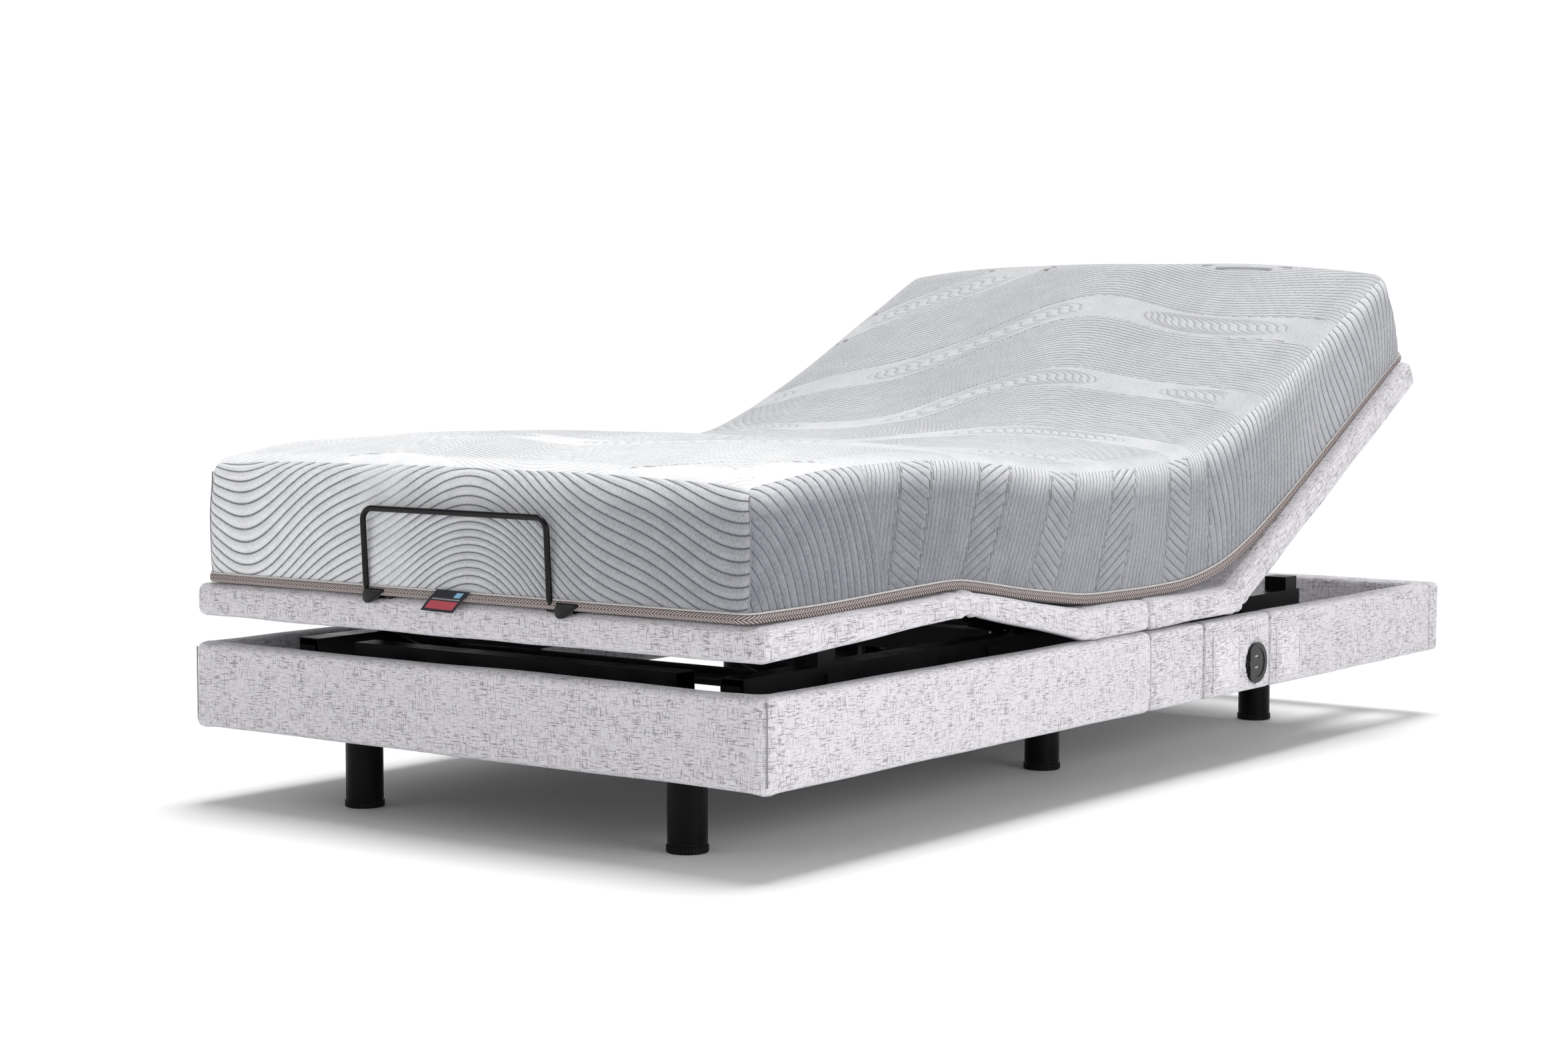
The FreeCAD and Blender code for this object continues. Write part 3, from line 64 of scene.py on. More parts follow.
class Paint:
    """A material's node tree, with short calls for its nodes and links."""

    def __init__(self, name):
        self.material = bpy.data.materials.new(name)
        self.material.use_nodes = True
        self.tree = self.material.node_tree
        self.tree.nodes.clear()
        out = self.tree.nodes.new("ShaderNodeOutputMaterial")
        self.shader = self.tree.nodes.new("ShaderNodeBsdfPrincipled")
        self.tree.links.new(self.shader.outputs[0], out.inputs[0])

    def put(self, node, sockets):
        """Links each named input to an output, or sets a plain value on it."""
        for key, value in sockets.items():
            if isinstance(value, bpy.types.NodeSocket):
                self.tree.links.new(value, node.inputs[key])
            elif value is not None:
                node.inputs[key].default_value = value

    def node(self, kind, sockets=None, **settings):
        """A new node with its settings made and its inputs filled."""
        node = self.tree.nodes.new("ShaderNode" + kind)
        for key, value in settings.items():
            setattr(node, key, value)
        self.put(node, sockets or {})
        return node

    def math(self, operation, a, b=None):
        return self.node("Math", {0: a, 1: b}, operation=operation).outputs[0]

    def times(self, a, b):
        return self.math("MULTIPLY", a, b)

    def plus(self, a, b):
        return self.math("ADD", a, b)

    def minus(self, a, b):
        return self.math("SUBTRACT", a, b)

    def step(self, value, low, high, to_low=0.0, to_high=1.0):
        """Smooth step of a value from low to high."""
        sockets = dict(enumerate((value, low, high, to_low, to_high)))
        return self.node("MapRange", sockets, interpolation_type="SMOOTHSTEP").outputs[0]

    def attribute(self, name, output="Vector"):
        return self.node("Attribute", attribute_name=name).outputs[output]

    def split(self, vector):
        return self.node("SeparateXYZ", {0: vector}).outputs

    def position(self):
        return self.node("TexCoord").outputs["Object"]

    def stretch(self, vector, scale, offset=(0.0, 0.0, 0.0)):
        sockets = {"Vector": vector, "Scale": scale, "Location": offset}
        return self.node("Mapping", sockets).outputs[0]

    def noise(self, vector, scale, detail, roughness=0.5, distortion=0.0):
        """Noise in a vector that is stretched first: one scale for all axes, or one for each."""
        scale = scale if isinstance(scale, tuple) else (scale,) * 3
        sockets = {"Vector": self.stretch(vector, scale), "Scale": 1.0, "Detail": detail,
                   "Roughness": roughness, "Distortion": distortion}
        return self.node("TexNoise", sockets).outputs[0]

    def wave(self, vector, scale, direction, distortion):
        sockets = {"Vector": vector, "Scale": scale, "Distortion": distortion, "Detail": 1.0}
        return self.node("TexWave", sockets, bands_direction=direction).outputs["Fac"]

    def mix(self, factor, a, b):
        sockets = {"Factor": factor, "A": a, "B": b}
        return self.node("Mix", sockets, data_type="RGBA").outputs["Result"]

    def bump(self, height, strength, distance, normal=None):
        sockets = {"Height": height, "Strength": strength, "Distance": distance, "Normal": normal}
        return self.node("Bump", sockets).outputs[0]

    def finish(self, colour, roughness, normal=None, metallic=0.0, specular=0.5, sheen=0.0):
        self.put(self.shader, {
            "Base Color": colour, "Roughness": roughness, "Normal": normal,
            "Metallic": metallic, "Specular IOR Level": specular, "Sheen Weight": sheen,
        })
        return self.material


def rgb(r, g, b):
    return (r, g, b, 1.0)


def linen(name, light, dark):
    """Melange plain weave with darker slubs both ways."""
    p = Paint(name)
    cloth = p.attribute("cloth")
    across = p.noise(cloth, (58.0, 590.0, 40.0), 3.0, 0.64)
    along = p.noise(p.stretch(cloth, (570.0, 56.0, 40.0), (3.1, 7.7, 0.0)), 1.0, 3.0, 0.64)
    fine = p.noise(p.stretch(cloth, (210.0, 900.0, 40.0), (9.0, 2.0, 0.0)), 1.0, 2.0, 0.6)
    patch = p.noise(cloth, 26.0, 2.0)
    dark_across = p.step(across, 0.52, 0.62)
    dark_along = p.step(along, 0.53, 0.63)
    slub = p.math("MAXIMUM", dark_across, p.times(dark_along, 0.85))
    slub = p.times(slub, p.step(patch, 0.3, 0.62, 0.55, 1.0))
    slub = p.math("MAXIMUM", slub, p.times(p.step(fine, 0.52, 0.66), 0.38))
    grain = p.noise(cloth, 900.0, 1.0)
    base = p.mix(p.step(grain, 0.25, 0.75), light, rgb(*(v * 0.86 for v in light[:3])))
    colour = p.mix(p.times(slub, 0.86), base, dark)
    warp, weft = (p.wave(cloth, 230.0, axis, 0.6) for axis in "XY")
    weave = p.plus(p.times(warp, weft), p.times(slub, 0.6))
    creases = p.noise(cloth, (9.0, 14.0, 9.0), 2.0)
    normal = p.bump(creases, 0.25, 0.004)
    normal = p.bump(weave, 0.35, 0.0006, normal)
    return p.finish(colour, 0.9, normal, specular=0.2, sheen=0.25)


def quilted_knit(name):
    """Heathered knit, sewn in channels along the lines that the mesh carries."""
    p = Paint(name)
    phase, depth, dark = p.split(p.attribute("quilt"))
    # Painted shade carried by the mesh: 0 gives the darker knit, 1 the paler one.
    tone_and_painted_shade = p.attribute("tone_and_painted_shade", "Fac")
    cloth = p.attribute("cloth")
    away = p.math("ABSOLUTE", p.minus(p.math("FRACT", phase), 0.5))
    gap = p.minus(0.5, away)
    puff = p.math("POWER", p.times(gap, 2.0), 0.5)
    thread = p.times(p.step(gap, 0.03, 0.12, 1.0, 0.0), dark)
    stitch = p.noise(cloth, 420.0, 1.0)
    thread = p.times(thread, p.step(stitch, 0.25, 0.5, 0.45, 1.0))
    shade = p.times(p.minus(1.0, p.step(gap, 0.0, 0.3)), depth)
    heather = p.noise(cloth, (520.0, 170.0, 300.0), 3.0, 0.7)
    slow = p.noise(cloth, 30.0, 3.0)
    fleck = p.plus(p.times(heather, 0.75), p.times(slow, 0.25))
    fleck = p.step(fleck, 0.35, 0.65)
    # Lit and shaded copies of the same heathered knit, mixed below by the painted-shade attribute.
    pale = p.mix(fleck, rgb(0.78, 0.788, 0.805), rgb(0.97, 0.975, 0.985))
    deep = p.mix(fleck, rgb(0.13, 0.134, 0.154), rgb(0.245, 0.250, 0.280))
    colour = p.mix(tone_and_painted_shade, deep, pale)
    colour = p.mix(p.times(shade, 0.26), colour, rgb(0.26, 0.28, 0.33))
    colour = p.mix(p.times(thread, 0.92), colour, rgb(0.075, 0.090, 0.125))
    knit = p.wave(cloth, 330.0, "X", 1.0)
    normal = p.bump(p.times(puff, depth), 0.9, 0.0035)
    normal = p.bump(slow, 0.25, 0.002, normal)
    normal = p.bump(p.plus(knit, heather), 0.3, 0.0004, normal)
    return p.finish(colour, 0.85, normal, specular=0.2, sheen=0.3)


def braid(name):
    """Two rows of slanted stitches on a flat tape."""
    middle_line, per_metre, slant = 0.0065, 170.0, 260.0
    p = Paint(name)
    run, rise, _ = p.split(p.attribute("cloth"))
    lean = p.math("ABSOLUTE", p.minus(rise, middle_line))
    saw = p.math("FRACT", p.plus(p.times(run, per_metre), p.times(lean, slant)))
    ridge = p.minus(1.0, p.math("ABSOLUTE", p.minus(p.times(saw, 2.0), 1.0)))
    colour = p.mix(p.step(ridge, 0.15, 0.75), rgb(0.085, 0.058, 0.056), rgb(0.50, 0.44, 0.43))
    middle = p.step(lean, 0.0, 0.0012, 0.55, 0.0)
    colour = p.mix(middle, colour, rgb(0.08, 0.06, 0.06))
    normal = p.bump(p.minus(ridge, middle), 0.9, 0.0012)
    return p.finish(colour, 0.7, normal, specular=0.3)


def plain_cloth(name, colour, second):
    """Fine corded cloth for piping and threads."""
    p = Paint(name)
    spot = p.noise(p.position(), 900.0, 2.0)
    mixed = p.mix(p.step(spot, 0.35, 0.65), colour, second)
    return p.finish(mixed, 0.85, p.bump(spot, 0.4, 0.0004), specular=0.2)


def painted(name, colour, roughness, metallic=0.0, depth=0.00012, wear=0.25, shine=0.38):
    """Powder coat or moulded plastic, with fine grain and slightly uneven gloss."""
    p = Paint(name)
    place = p.position()
    fine = p.noise(place, 1400.0, 2.0)
    slow = p.noise(place, 18.0, 3.0)
    lighter = rgb(*(min(1.0, v * 1.5 + 0.002) for v in colour[:3]))
    mixed = p.mix(p.times(p.step(slow, 0.4, 0.7), wear), colour, lighter)
    gloss = p.step(slow, 0.3, 0.7, roughness - 0.06, roughness + 0.08)
    return p.finish(mixed, gloss, p.bump(fine, 0.35, depth), metallic, specular=shine)


def wood(name):
    """Birch plywood."""
    p = Paint(name)
    grain = p.noise(p.position(), (60.0, 3.0, 260.0), 4.0, 0.6, 0.8)
    colour = p.mix(p.step(grain, 0.3, 0.7), rgb(0.42, 0.28, 0.15), rgb(0.62, 0.46, 0.28))
    return p.finish(colour, 0.6, p.bump(grain, 0.3, 0.0005), specular=0.3)


LINEN = linen("linen", rgb(0.74, 0.722, 0.758), rgb(0.15, 0.137, 0.155))
PATCH_LINEN = linen("patch_linen", rgb(0.82, 0.80, 0.835), rgb(0.20, 0.185, 0.205))
KNIT = quilted_knit("quilted_knit")
BRAID = braid("braid")
PIPING = plain_cloth("piping_cord", rgb(0.42, 0.40, 0.39), rgb(0.62, 0.60, 0.59))
THREAD = plain_cloth("seam_thread", rgb(0.30, 0.29, 0.31), rgb(0.20, 0.20, 0.22))
STEEL = painted("frame_paint", rgb(0.003, 0.003, 0.0038), 0.34, 0.0, shine=0.14)
FINISHES = {
    "frame_steel": STEEL,
    "support_steel": painted("support_paint", rgb(0.0035, 0.0035, 0.0045), 0.36, shine=0.16),
    "leg_steel": painted("leg_paint", rgb(0.002, 0.002, 0.0028), 0.34, shine=0.09),
    "retainer_steel": painted("retainer_paint", rgb(0.003, 0.003, 0.0035), 0.24, shine=0.20),
    "glide_plastic": painted(
        "glide_plastic", rgb(0.004, 0.004, 0.005), 0.45, depth=0.0003, shine=0.12
    ),
    "zinc_steel": painted("zinc", rgb(0.45, 0.45, 0.46), 0.35, 0.9),
    "socket_plastic": painted("socket_plastic", rgb(0.008, 0.008, 0.009), 0.32),
    "motor_plastic": painted("motor_plastic", rgb(0.02, 0.02, 0.022), 0.5, depth=0.0003),
    "rod_aluminium": painted("rod_aluminium", rgb(0.60, 0.60, 0.61), 0.3, 1.0),
    "box_plastic": painted("box_plastic", rgb(0.018, 0.018, 0.020), 0.55, depth=0.0003),
    "plywood": wood("plywood"),
    "rail_fabric": LINEN,
    "deck_fabric": LINEN,
    "patch_fabric": PATCH_LINEN,
    "mattress_knit": KNIT,
}


# ---------------------------------------------------------------- mesh building


def add_object(name, data):
    item = bpy.data.objects.new(name, data)
    bpy.context.scene.collection.objects.link(item)
    return item


def mesh_object(name, points, faces, material):
    mesh = bpy.data.meshes.new(name)
    mesh.from_pydata(np.asarray(points, float).tolist(), [], [tuple(f) for f in faces])
    mesh.polygons.foreach_set("use_smooth", np.ones(len(mesh.polygons), bool))
    mesh.materials.append(material)
    mesh.update()
    return add_object(name, mesh)


def corner_values(piece, name, values):
    """Stores one vector for each corner of each face."""
    values = np.asarray(values, np.float32)
    kind = "FLOAT" if values.ndim == 1 else "FLOAT_VECTOR"
    layer = piece.data.attributes.new(name, kind, "CORNER")
    layer.data.foreach_set("value" if kind == "FLOAT" else "vector", values.ravel())


def ease(t):
    t = np.clip(t, 0.0, 1.0)
    return t * t * (3.0 - 2.0 * t)


def ticks(length, cell, low, high):
    """Places along an edge: close together in the rounded ends, even between them."""
    ends = np.array([0.0, 0.1, 0.25, 0.45, 0.7, 1.0])
    count = max(1, int(round((length - low - high) / cell)))
    inner = np.linspace(low, length - high, count + 1)
    first = ends * low if low > cell * 1.5 else ends[[0, 2, 5]] * low
    last = ends * high if high > cell * 1.5 else ends[[0, 2, 5]] * high
    return np.unique(np.round(np.concatenate([first, inner, length - last]), 7))


class Block:
    """A rounded box in coordinates of its own, carried to its place by a function of them."""

    def __init__(self, size, cell, radii, place, ends):
        size = np.asarray(size, float)
        self.size = size
        grid = [ticks(size[k], cell[k], *ends[k]) for k in range(3)]
        corners, side = [], []
        for k in range(3):
            i, j = (k + 1) % 3, (k + 2) % 3
            for high in (0, 1):
                a, b = np.meshgrid(grid[i], grid[j], indexing="ij")
                flat = np.empty(a.shape + (3,))
                flat[..., i], flat[..., j], flat[..., k] = a, b, high * size[k]
                quads = np.stack([flat[:-1, :-1], flat[1:, :-1], flat[1:, 1:], flat[:-1, 1:]], 2)
                quads = quads.reshape(-1, 4, 3)
                corners.append(quads if high else quads[:, ::-1])
                side.append(np.full(len(quads), 2 * k + high))
        self.corners = np.concatenate(corners)
        self.side = np.concatenate(side)
        keys = np.round(self.corners.reshape(-1, 3) * 1e6).astype(np.int64)
        _, first, index = np.unique(keys, axis=0, return_index=True, return_inverse=True)
        self.flat = self.corners.reshape(-1, 3)[first]
        self.faces = index.reshape(-1, 4)
        radius = np.asarray(radii(self.flat) if callable(radii) else radii, float)
        radius = np.broadcast_to(radius, self.flat.shape)
        core = np.clip(self.flat, radius, size - radius)
        lean = (self.flat - core) / radius
        length = np.linalg.norm(lean, axis=1, keepdims=True)
        self.points = place(core + radius * lean / length)
        if self.volume() < 0:
            self.faces = self.faces[:, ::-1]
            self.corners = self.corners[:, ::-1]

    def volume(self):
        a, b, c = (self.points[self.faces[:, k]] for k in (0, 1, 2))
        d = self.points[self.faces[:, 3]]
        return np.einsum("ij,ij->", a, np.cross(b, c)) + np.einsum("ij,ij->", a, np.cross(c, d))

    def normals(self):
        p = self.points[self.faces]
        across = np.cross(p[:, 2] - p[:, 0], p[:, 3] - p[:, 1])
        total = np.zeros_like(self.points)
        for k in range(4):
            np.add.at(total, self.faces[:, k], across)
        return total / np.maximum(np.linalg.norm(total, axis=1, keepdims=True), 1e-12)

    def push(self, amount):
        """Moves each point along its normal."""
        self.points = self.points + self.normals() * np.asarray(amount)[:, None]

    def cloth(self):
        """Flat fabric coordinates, in metres, for each corner of each face."""
        axis = self.side // 2
        i, j = (axis + 1) % 3, (axis + 2) % 3
        rows = np.arange(len(axis))[:, None]
        u = self.corners[rows, np.arange(4)[None, :], i[:, None]]
        v = self.corners[rows, np.arange(4)[None, :], j[:, None]]
        turned = (axis == 1)[:, None]
        u, v = np.where(turned, v, u), np.where(turned, u, v)
        return np.stack([u, v, np.repeat((self.side * 0.37)[:, None], 4, 1)], 2)

    def piece(self, name, material, keep=None, layers=()):
        """An object of all faces, or of those kept, with the whole block's own normals."""
        keep = np.ones(len(self.faces), bool) if keep is None else keep
        used, index = np.unique(self.faces[keep], return_inverse=True)
        piece = mesh_object(name, self.points[used], index.reshape(-1, 4), material)
        corner_values(piece, "cloth", self.cloth()[keep].reshape(-1, 3))
        for key, values in layers:
            values = values[keep]
            corner_values(piece, key, values.reshape(-1, 3) if values.ndim == 3 else values.ravel())
        piece.data.normals_split_custom_set_from_vertices(self.normals()[used].tolist())
        return piece


def hermite(knots, values, at):
    """Smooth curve through values at knots."""
    slopes = np.gradient(values, knots, axis=0)
    i = np.clip(np.searchsorted(knots, at, "right") - 1, 0, len(knots) - 2)
    span = (knots[i + 1] - knots[i])[:, None]
    t = ((at - knots[i])[:, None]) / span
    return (
        values[i] * (2 * t**3 - 3 * t**2 + 1)
        + slopes[i] * span * (t**3 - 2 * t**2 + t)
        + values[i + 1] * (3 * t**2 - 2 * t**3)
        + slopes[i + 1] * span * (t**3 - t**2)
    )


def chords(line):
    return np.concatenate([[0.0], np.cumsum(np.linalg.norm(np.diff(line, axis=0), axis=1))])


CORNER_SAMPLES = 9


def filleted(points, radii):
    """A line of straight runs with rounded corners."""
    points = [np.asarray(p, float) for p in points]
    line = [points[0]]
    for before, corner, after, radius in zip(points, points[1:], points[2:], radii):
        u, v = before - corner, after - corner
        u, v = u / np.linalg.norm(u), v / np.linalg.norm(v)
        reach = radius / math.tan(math.acos(float(np.clip(u @ v, -1, 1))) / 2)
        for t in np.linspace(0, 1, CORNER_SAMPLES):
            line.append(corner + u * reach * (1 - t) ** 2 + v * reach * t**2)
    return np.array(line + [points[-1]])


def on_line(line, at, run):
    """Points of a line, whose own points lie at distances `at`, at the distances `run`."""
    return np.column_stack([np.interp(run, at, line[:, k]) for k in (0, 1)])


def tube(name, points, radius, material):
    """A round thread along points, closed at both ends."""
    sides = 8
    points = np.asarray(points, float)
    along = np.gradient(points, axis=0)
    along /= np.linalg.norm(along, axis=1, keepdims=True)
    up = np.array((0.0, 0.0, 1.0) if abs(along[:, 2]).mean() < 0.8 else (1.0, 0.0, 0.0))
    side = np.cross(along, up)
    side /= np.linalg.norm(side, axis=1, keepdims=True)
    rise = np.cross(side, along)
    angle = np.linspace(0, 2 * math.pi, sides, endpoint=False)
    cosines, sines = (turn(angle)[None, :, None] for turn in (np.cos, np.sin))
    ring = side[:, None] * cosines + rise[:, None] * sines
    verts = (points[:, None] + radius * ring).reshape(-1, 3)
    faces = []
    for i in range(len(points) - 1):
        for k in range(sides):
            m = (k + 1) % sides
            faces.append((i * sides + k, i * sides + m, (i + 1) * sides + m, (i + 1) * sides + k))
    faces.append(tuple(range(sides))[::-1])
    faces.append(tuple((len(points) - 1) * sides + k for k in range(sides)))
    return mesh_object(name, verts, faces, material)


def hills(values, places):
    """Sum of smooth hills: each place is centre, half width, height."""
    return sum(h * np.exp(-(((values - c) / w) ** 2)) for c, w, h in places)


def ripple(p, size, seed):
    """Repeatable soft unevenness from -1 to 1."""
    rng = np.random.default_rng(seed)
    total = np.zeros(len(p))
    for _ in range(7):
        direction = rng.normal(size=3)
        direction /= np.linalg.norm(direction) * size * rng.uniform(0.7, 1.6)
        total += np.sin(2 * math.pi * (p @ direction) + rng.uniform(0, 6.28))
    return total / 4.0


# ---------------------------------------------------------------- mattress

MATTRESS_LOW = np.array([
    (-1.000, 0.3275), (-0.833, 0.3275), (-0.700, 0.332), (-0.617, 0.335), (-0.530, 0.336),
    (-0.456, 0.326), (-0.371, 0.312), (-0.283, 0.300), (-0.193, 0.289), (-0.088, 0.286),
    (0.028, 0.2855), (0.130, 0.290), (0.232, 0.308), (0.330, 0.342), (0.445, 0.397),
    (0.580, 0.470), (0.735, 0.5545), (0.894, 0.6405),
])
MATTRESS_TOP = np.array([
    (-1.000, 0.500), (-0.834, 0.516), (-0.705, 0.5195), (-0.617, 0.519), (-0.515, 0.515),
    (-0.420, 0.507), (-0.330, 0.497), (-0.245, 0.487), (-0.165, 0.4835), (-0.075, 0.483),
    (0.022, 0.486), (0.100, 0.491), (0.172, 0.502), (0.262, 0.530), (0.362, 0.567),
    (0.497, 0.6260), (0.655, 0.703), (0.833, 0.786),
])
HALF_WIDE = 0.503
THICK = 0.172
TOP_ROUND = 0.027
EDGE_ROUND = 0.020
CROWN_AT = (0.0, 0.15, 0.45, 0.90, 1.20, 1.55, 2.05)
CROWN_RISE = (0.010, 0.014, 0.017, 0.022, 0.030, 0.034, 0.028)
MATTRESS_KNOTS = chords((MATTRESS_LOW + MATTRESS_TOP) / 2)
MATTRESS_LONG = MATTRESS_KNOTS[-1]


def mattress_place(p):
    """From along, across and up in the mattress to the row frame."""
    low = hermite(MATTRESS_KNOTS, MATTRESS_LOW, p[:, 0])
    top = hermite(MATTRESS_KNOTS, MATTRESS_TOP, p[:, 0])
    x = p[:, 1] - HALF_WIDE
    share = p[:, 2] / THICK
    rise = np.interp(p[:, 0], CROWN_AT, CROWN_RISE)
    crown = rise * (1 - np.abs(x / HALF_WIDE) ** 3.2) * np.clip(share, 0, 1) ** 3
    share = share + crown / THICK
    level = np.clip(share, 0, 1)
    bulge = 1 + 0.004 * np.sin(math.pi * level) - 0.006 * (1 - level) ** 3
    yz = low + (top - low) * share[:, None]
    return np.column_stack([x * bulge, yz])


def mattress_radii(p):
    up = ease((p[:, 2] - 0.095) / 0.055)
    plan = EDGE_ROUND + (TOP_ROUND - EDGE_ROUND) * up
    lift = np.where(p[:, 2] > THICK / 2, TOP_ROUND, 0.005)
    return np.column_stack([plan, plan, lift])


BAND_FADE = 0.009


def smooth_bands(value, width):
    """1 well inside a band of the given width, 0 at its edges and outside."""
    return ease(np.minimum(value, width - value) / BAND_FADE)


def top_lines(a, x):
    """Wide flowing bands of close lines, with leaves of short ribs between them."""
    period, filled, line_gap, rib_gap, leaf_half = 0.330, 0.235, 0.0112, 0.0165, 0.044
    flow = 0.105 * np.sin(2 * math.pi * (x + 0.45 * a) / 1.02)
    flow = flow + 0.028 * np.sin(2 * math.pi * x / 0.43 + 2.6 * a)
    g = a + flow - 0.34 * x
    row, inside = np.floor(g / period), (g / period % 1.0) * period
    band = smooth_bands(inside, filled)
    phase = g / line_gap
    cell = ((x + 0.19 * row) / 0.42 % 1.0) - 0.5
    middle = inside - (filled + period) / 2
    reach = leaf_half * np.sqrt(np.maximum(0.0, 1 - (cell / 0.36) ** 2))
    leaf = ease((reach - np.abs(middle)) / 0.008) * (reach > 0.012)
    ribs = (x + 1.5 * middle * np.abs(middle) / 0.04) / rib_gap
    in_leaf = inside > filled
    rim = np.minimum(np.minimum(a, MATTRESS_LONG - a), HALF_WIDE - np.abs(x))
    leaf = leaf * ease((rim - 0.045) / 0.03)
    phase = np.where(in_leaf, ribs, phase)
    depth = np.where(in_leaf, 0.75 * leaf, 0.70 * band) * ease((rim - 0.012) / 0.04)
    dark = np.where(in_leaf, 0.14 * leaf, 0.90 * band) * (0.45 + 0.55 * ease((a - 0.7) / 0.5))
    return phase, depth, dark


def end_lines(x, d):
    """Nested arcs: hollow at both sides and a hill between them."""
    line_gap = 0.0130
    w = 0.052 * np.cos(2 * math.pi * (x - 0.01) / 0.74)
    w = w + 0.012 * np.sin(2 * math.pi * x / 0.31 + 0.8)
    w = w * (1 + 0.5 * ease((d - 0.02) / 0.15))
    phase = (-d - w + 0.3 * x * x) / line_gap
    fine = ease((np.abs(x + 0.14) - 0.02) / 0.05)
    return phase, 0.55 + 0.45 * fine, 0.45 + 0.5 * fine


def side_lines(a, d):
    """Arcs by the foot corner, slanted bands along the seat, long leaning lines up the back."""
    period, filled = 0.185, 0.112
    arc_gap, close_gap, rib_gap, sweep_gap = 0.0148, 0.0100, 0.0145, 0.0145
    arcs = np.hypot(a + 0.12, 0.235 - d) / arc_gap
    lean = a + 0.22 * d
    lean_b = a - 0.24 * (THICK - d)
    row, inside = np.floor(lean_b / period), (lean_b / period % 1.0) * period
    close = lean_b / close_gap
    ribs = (np.where(row % 2 == 0, 1.0, -1.0) * a * 0.55 + d) / rib_gap
    in_close = inside < filled
    b_phase = np.where(in_close, close, ribs)
    between = smooth_bands(inside - filled, period - filled)
    b_fade = np.where(in_close, smooth_bands(inside, filled), between)
    b_depth = np.where(in_close, 0.5, 0.9) * b_fade
    b_dark = np.where(in_close, 0.85, 0.8) * b_fade
    sway = 0.022 * np.sin(2 * math.pi * (a + 1.3 * d) / 0.52)
    sweep = (lean + sway - 0.10 * d * ease((a - 1.2) / 0.4)) / sweep_gap
    first = 0.300 - 0.35 * (THICK - d)
    second = 1.17 + 0.25 * (THICK - d)
    in_a, in_c = a < first, a > second
    phase = np.where(in_a, arcs, np.where(in_c, sweep, b_phase))
    edge = ease(np.minimum(np.abs(a - first), np.abs(a - second)) / BAND_FADE)
    depth = np.where(in_a | in_c, 0.9, b_depth) * edge
    dark = np.where(in_a, 0.95, np.where(in_c, 0.85, b_dark)) * edge
    return phase, depth, dark


def quilting(block):
    """The sewn lines at each corner of each face: phase, depth and thread darkness, then how light or
    dark the knit is painted there, mostly painted shade.
    """
    a, x, h = (block.corners[..., k] for k in range(3))
    x = x - HALF_WIDE
    d = block.size[2] - h
    side = block.side[:, None] + np.zeros((1, 4), int)
    out = np.zeros(a.shape + (3,))
    tone_and_painted_shade = np.ones(a.shape)
    flanks = side_lines(a, d)
    faces = (end_lines(x, d), end_lines(-x, d), flanks, flanks, top_lines(a, x))
    for number, found in zip((0, 1, 2, 3, 5), faces):
        here = side == number
        for k in range(3):
            out[..., k] = np.where(here, found[k], out[..., k])
    # Painted shade in the knit's colour: the foot face darkens toward its right corner, the right side
    # is far darker than the left and darkest at the foot end, and the top darkens toward the back and
    # along its right rim. The sides are also darker than the top.
    foot_tone_and_shade = 0.79 - 0.58 * ease((x + 0.40) / 0.85)
    right_side_tone_and_shade = 0.01 + 0.12 * ease((a - 0.25) / 0.7) + 0.15 * ease((a - 1.2) / 0.45)
    roll = ease(d / 0.05)
    tone_and_painted_shade = np.where(side == 0, 0.9 + (foot_tone_and_shade - 0.9) * roll, tone_and_painted_shade)
    tone_and_painted_shade = np.where(side == 3, 0.66 + (right_side_tone_and_shade - 0.66) * roll, tone_and_painted_shade)
    tone_and_painted_shade = np.where((side == 1) | (side == 2), 0.72 - 0.30 * roll, tone_and_painted_shade)
    top_painted_shade = 1.0 - 0.26 * ease((a - 0.12) / 0.35) - 0.16 * ease((a - 1.0) / 0.45)
    near_side = ease((x - 0.40) / 0.1)
    tone_and_painted_shade = np.where(side == 5, top_painted_shade - near_side * 0.11 * ease(a / 0.2), tone_and_painted_shade)
    return out, tone_and_painted_shade


CORNER_LOSS = 0.29  # share of a radius that a rounded corner takes off
CUT_Y = (-0.371, 0.022)  # where the mattress is parted into foot, seat and head


def build_mattress():
    high = THICK + CORNER_LOSS * TOP_ROUND
    block = Block(
        (MATTRESS_LONG, 2 * HALF_WIDE, high),
        (0.0042,) * 3,
        mattress_radii,
        mattress_place,
        ends=((0.045, 0.045), (0.045, 0.045), (0.005, 0.045)),
    )
    lines, tone_and_painted_shade = quilting(block)
    coarse = np.zeros(len(block.points))
    depth = np.zeros(len(block.points))
    gap = np.abs(lines[..., 0] % 1.0 - 0.5) * 2
    for k in range(4):
        coarse[block.faces[:, k]] = gap[:, k]
        depth[block.faces[:, k]] = np.where(lines[:, k, 1] > 0.5, lines[:, k, 1], 0)
    wall = ease(block.flat[:, 2] / 0.03)
    block.push(-0.0011 * ease((coarse - 0.55) / 0.45) * depth * wall
               + 0.0016 * wall * ripple(block.flat, 0.22, 4))
    middle = (MATTRESS_LOW[:, 0] + MATTRESS_TOP[:, 0]) / 2
    cuts = [np.interp(y, middle, MATTRESS_KNOTS) for y in CUT_Y]
    return block, lines, tone_and_painted_shade, cuts


def zones(along, cuts):
    foot, head = along < cuts[0], along >= cuts[1]
    return {"foot": foot, "seat": ~foot & ~head, "head": head}


block, lines, tone_and_painted_shade, cuts = build_mattress()
stands_for = {
    "head": ["mattress_back"],
    "seat": ["mattress_seat", "mattress_thigh"],
    "foot": ["mattress_foot"],
}
for word, keep in zones(block.corners[..., 0].mean(1), cuts).items():
    part = block.piece(f"mattress_{word}_part", KNIT, keep, (("quilt", lines), ("tone_and_painted_shade", tone_and_painted_shade)))
    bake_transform(part)
    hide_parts(*stands_for[word])


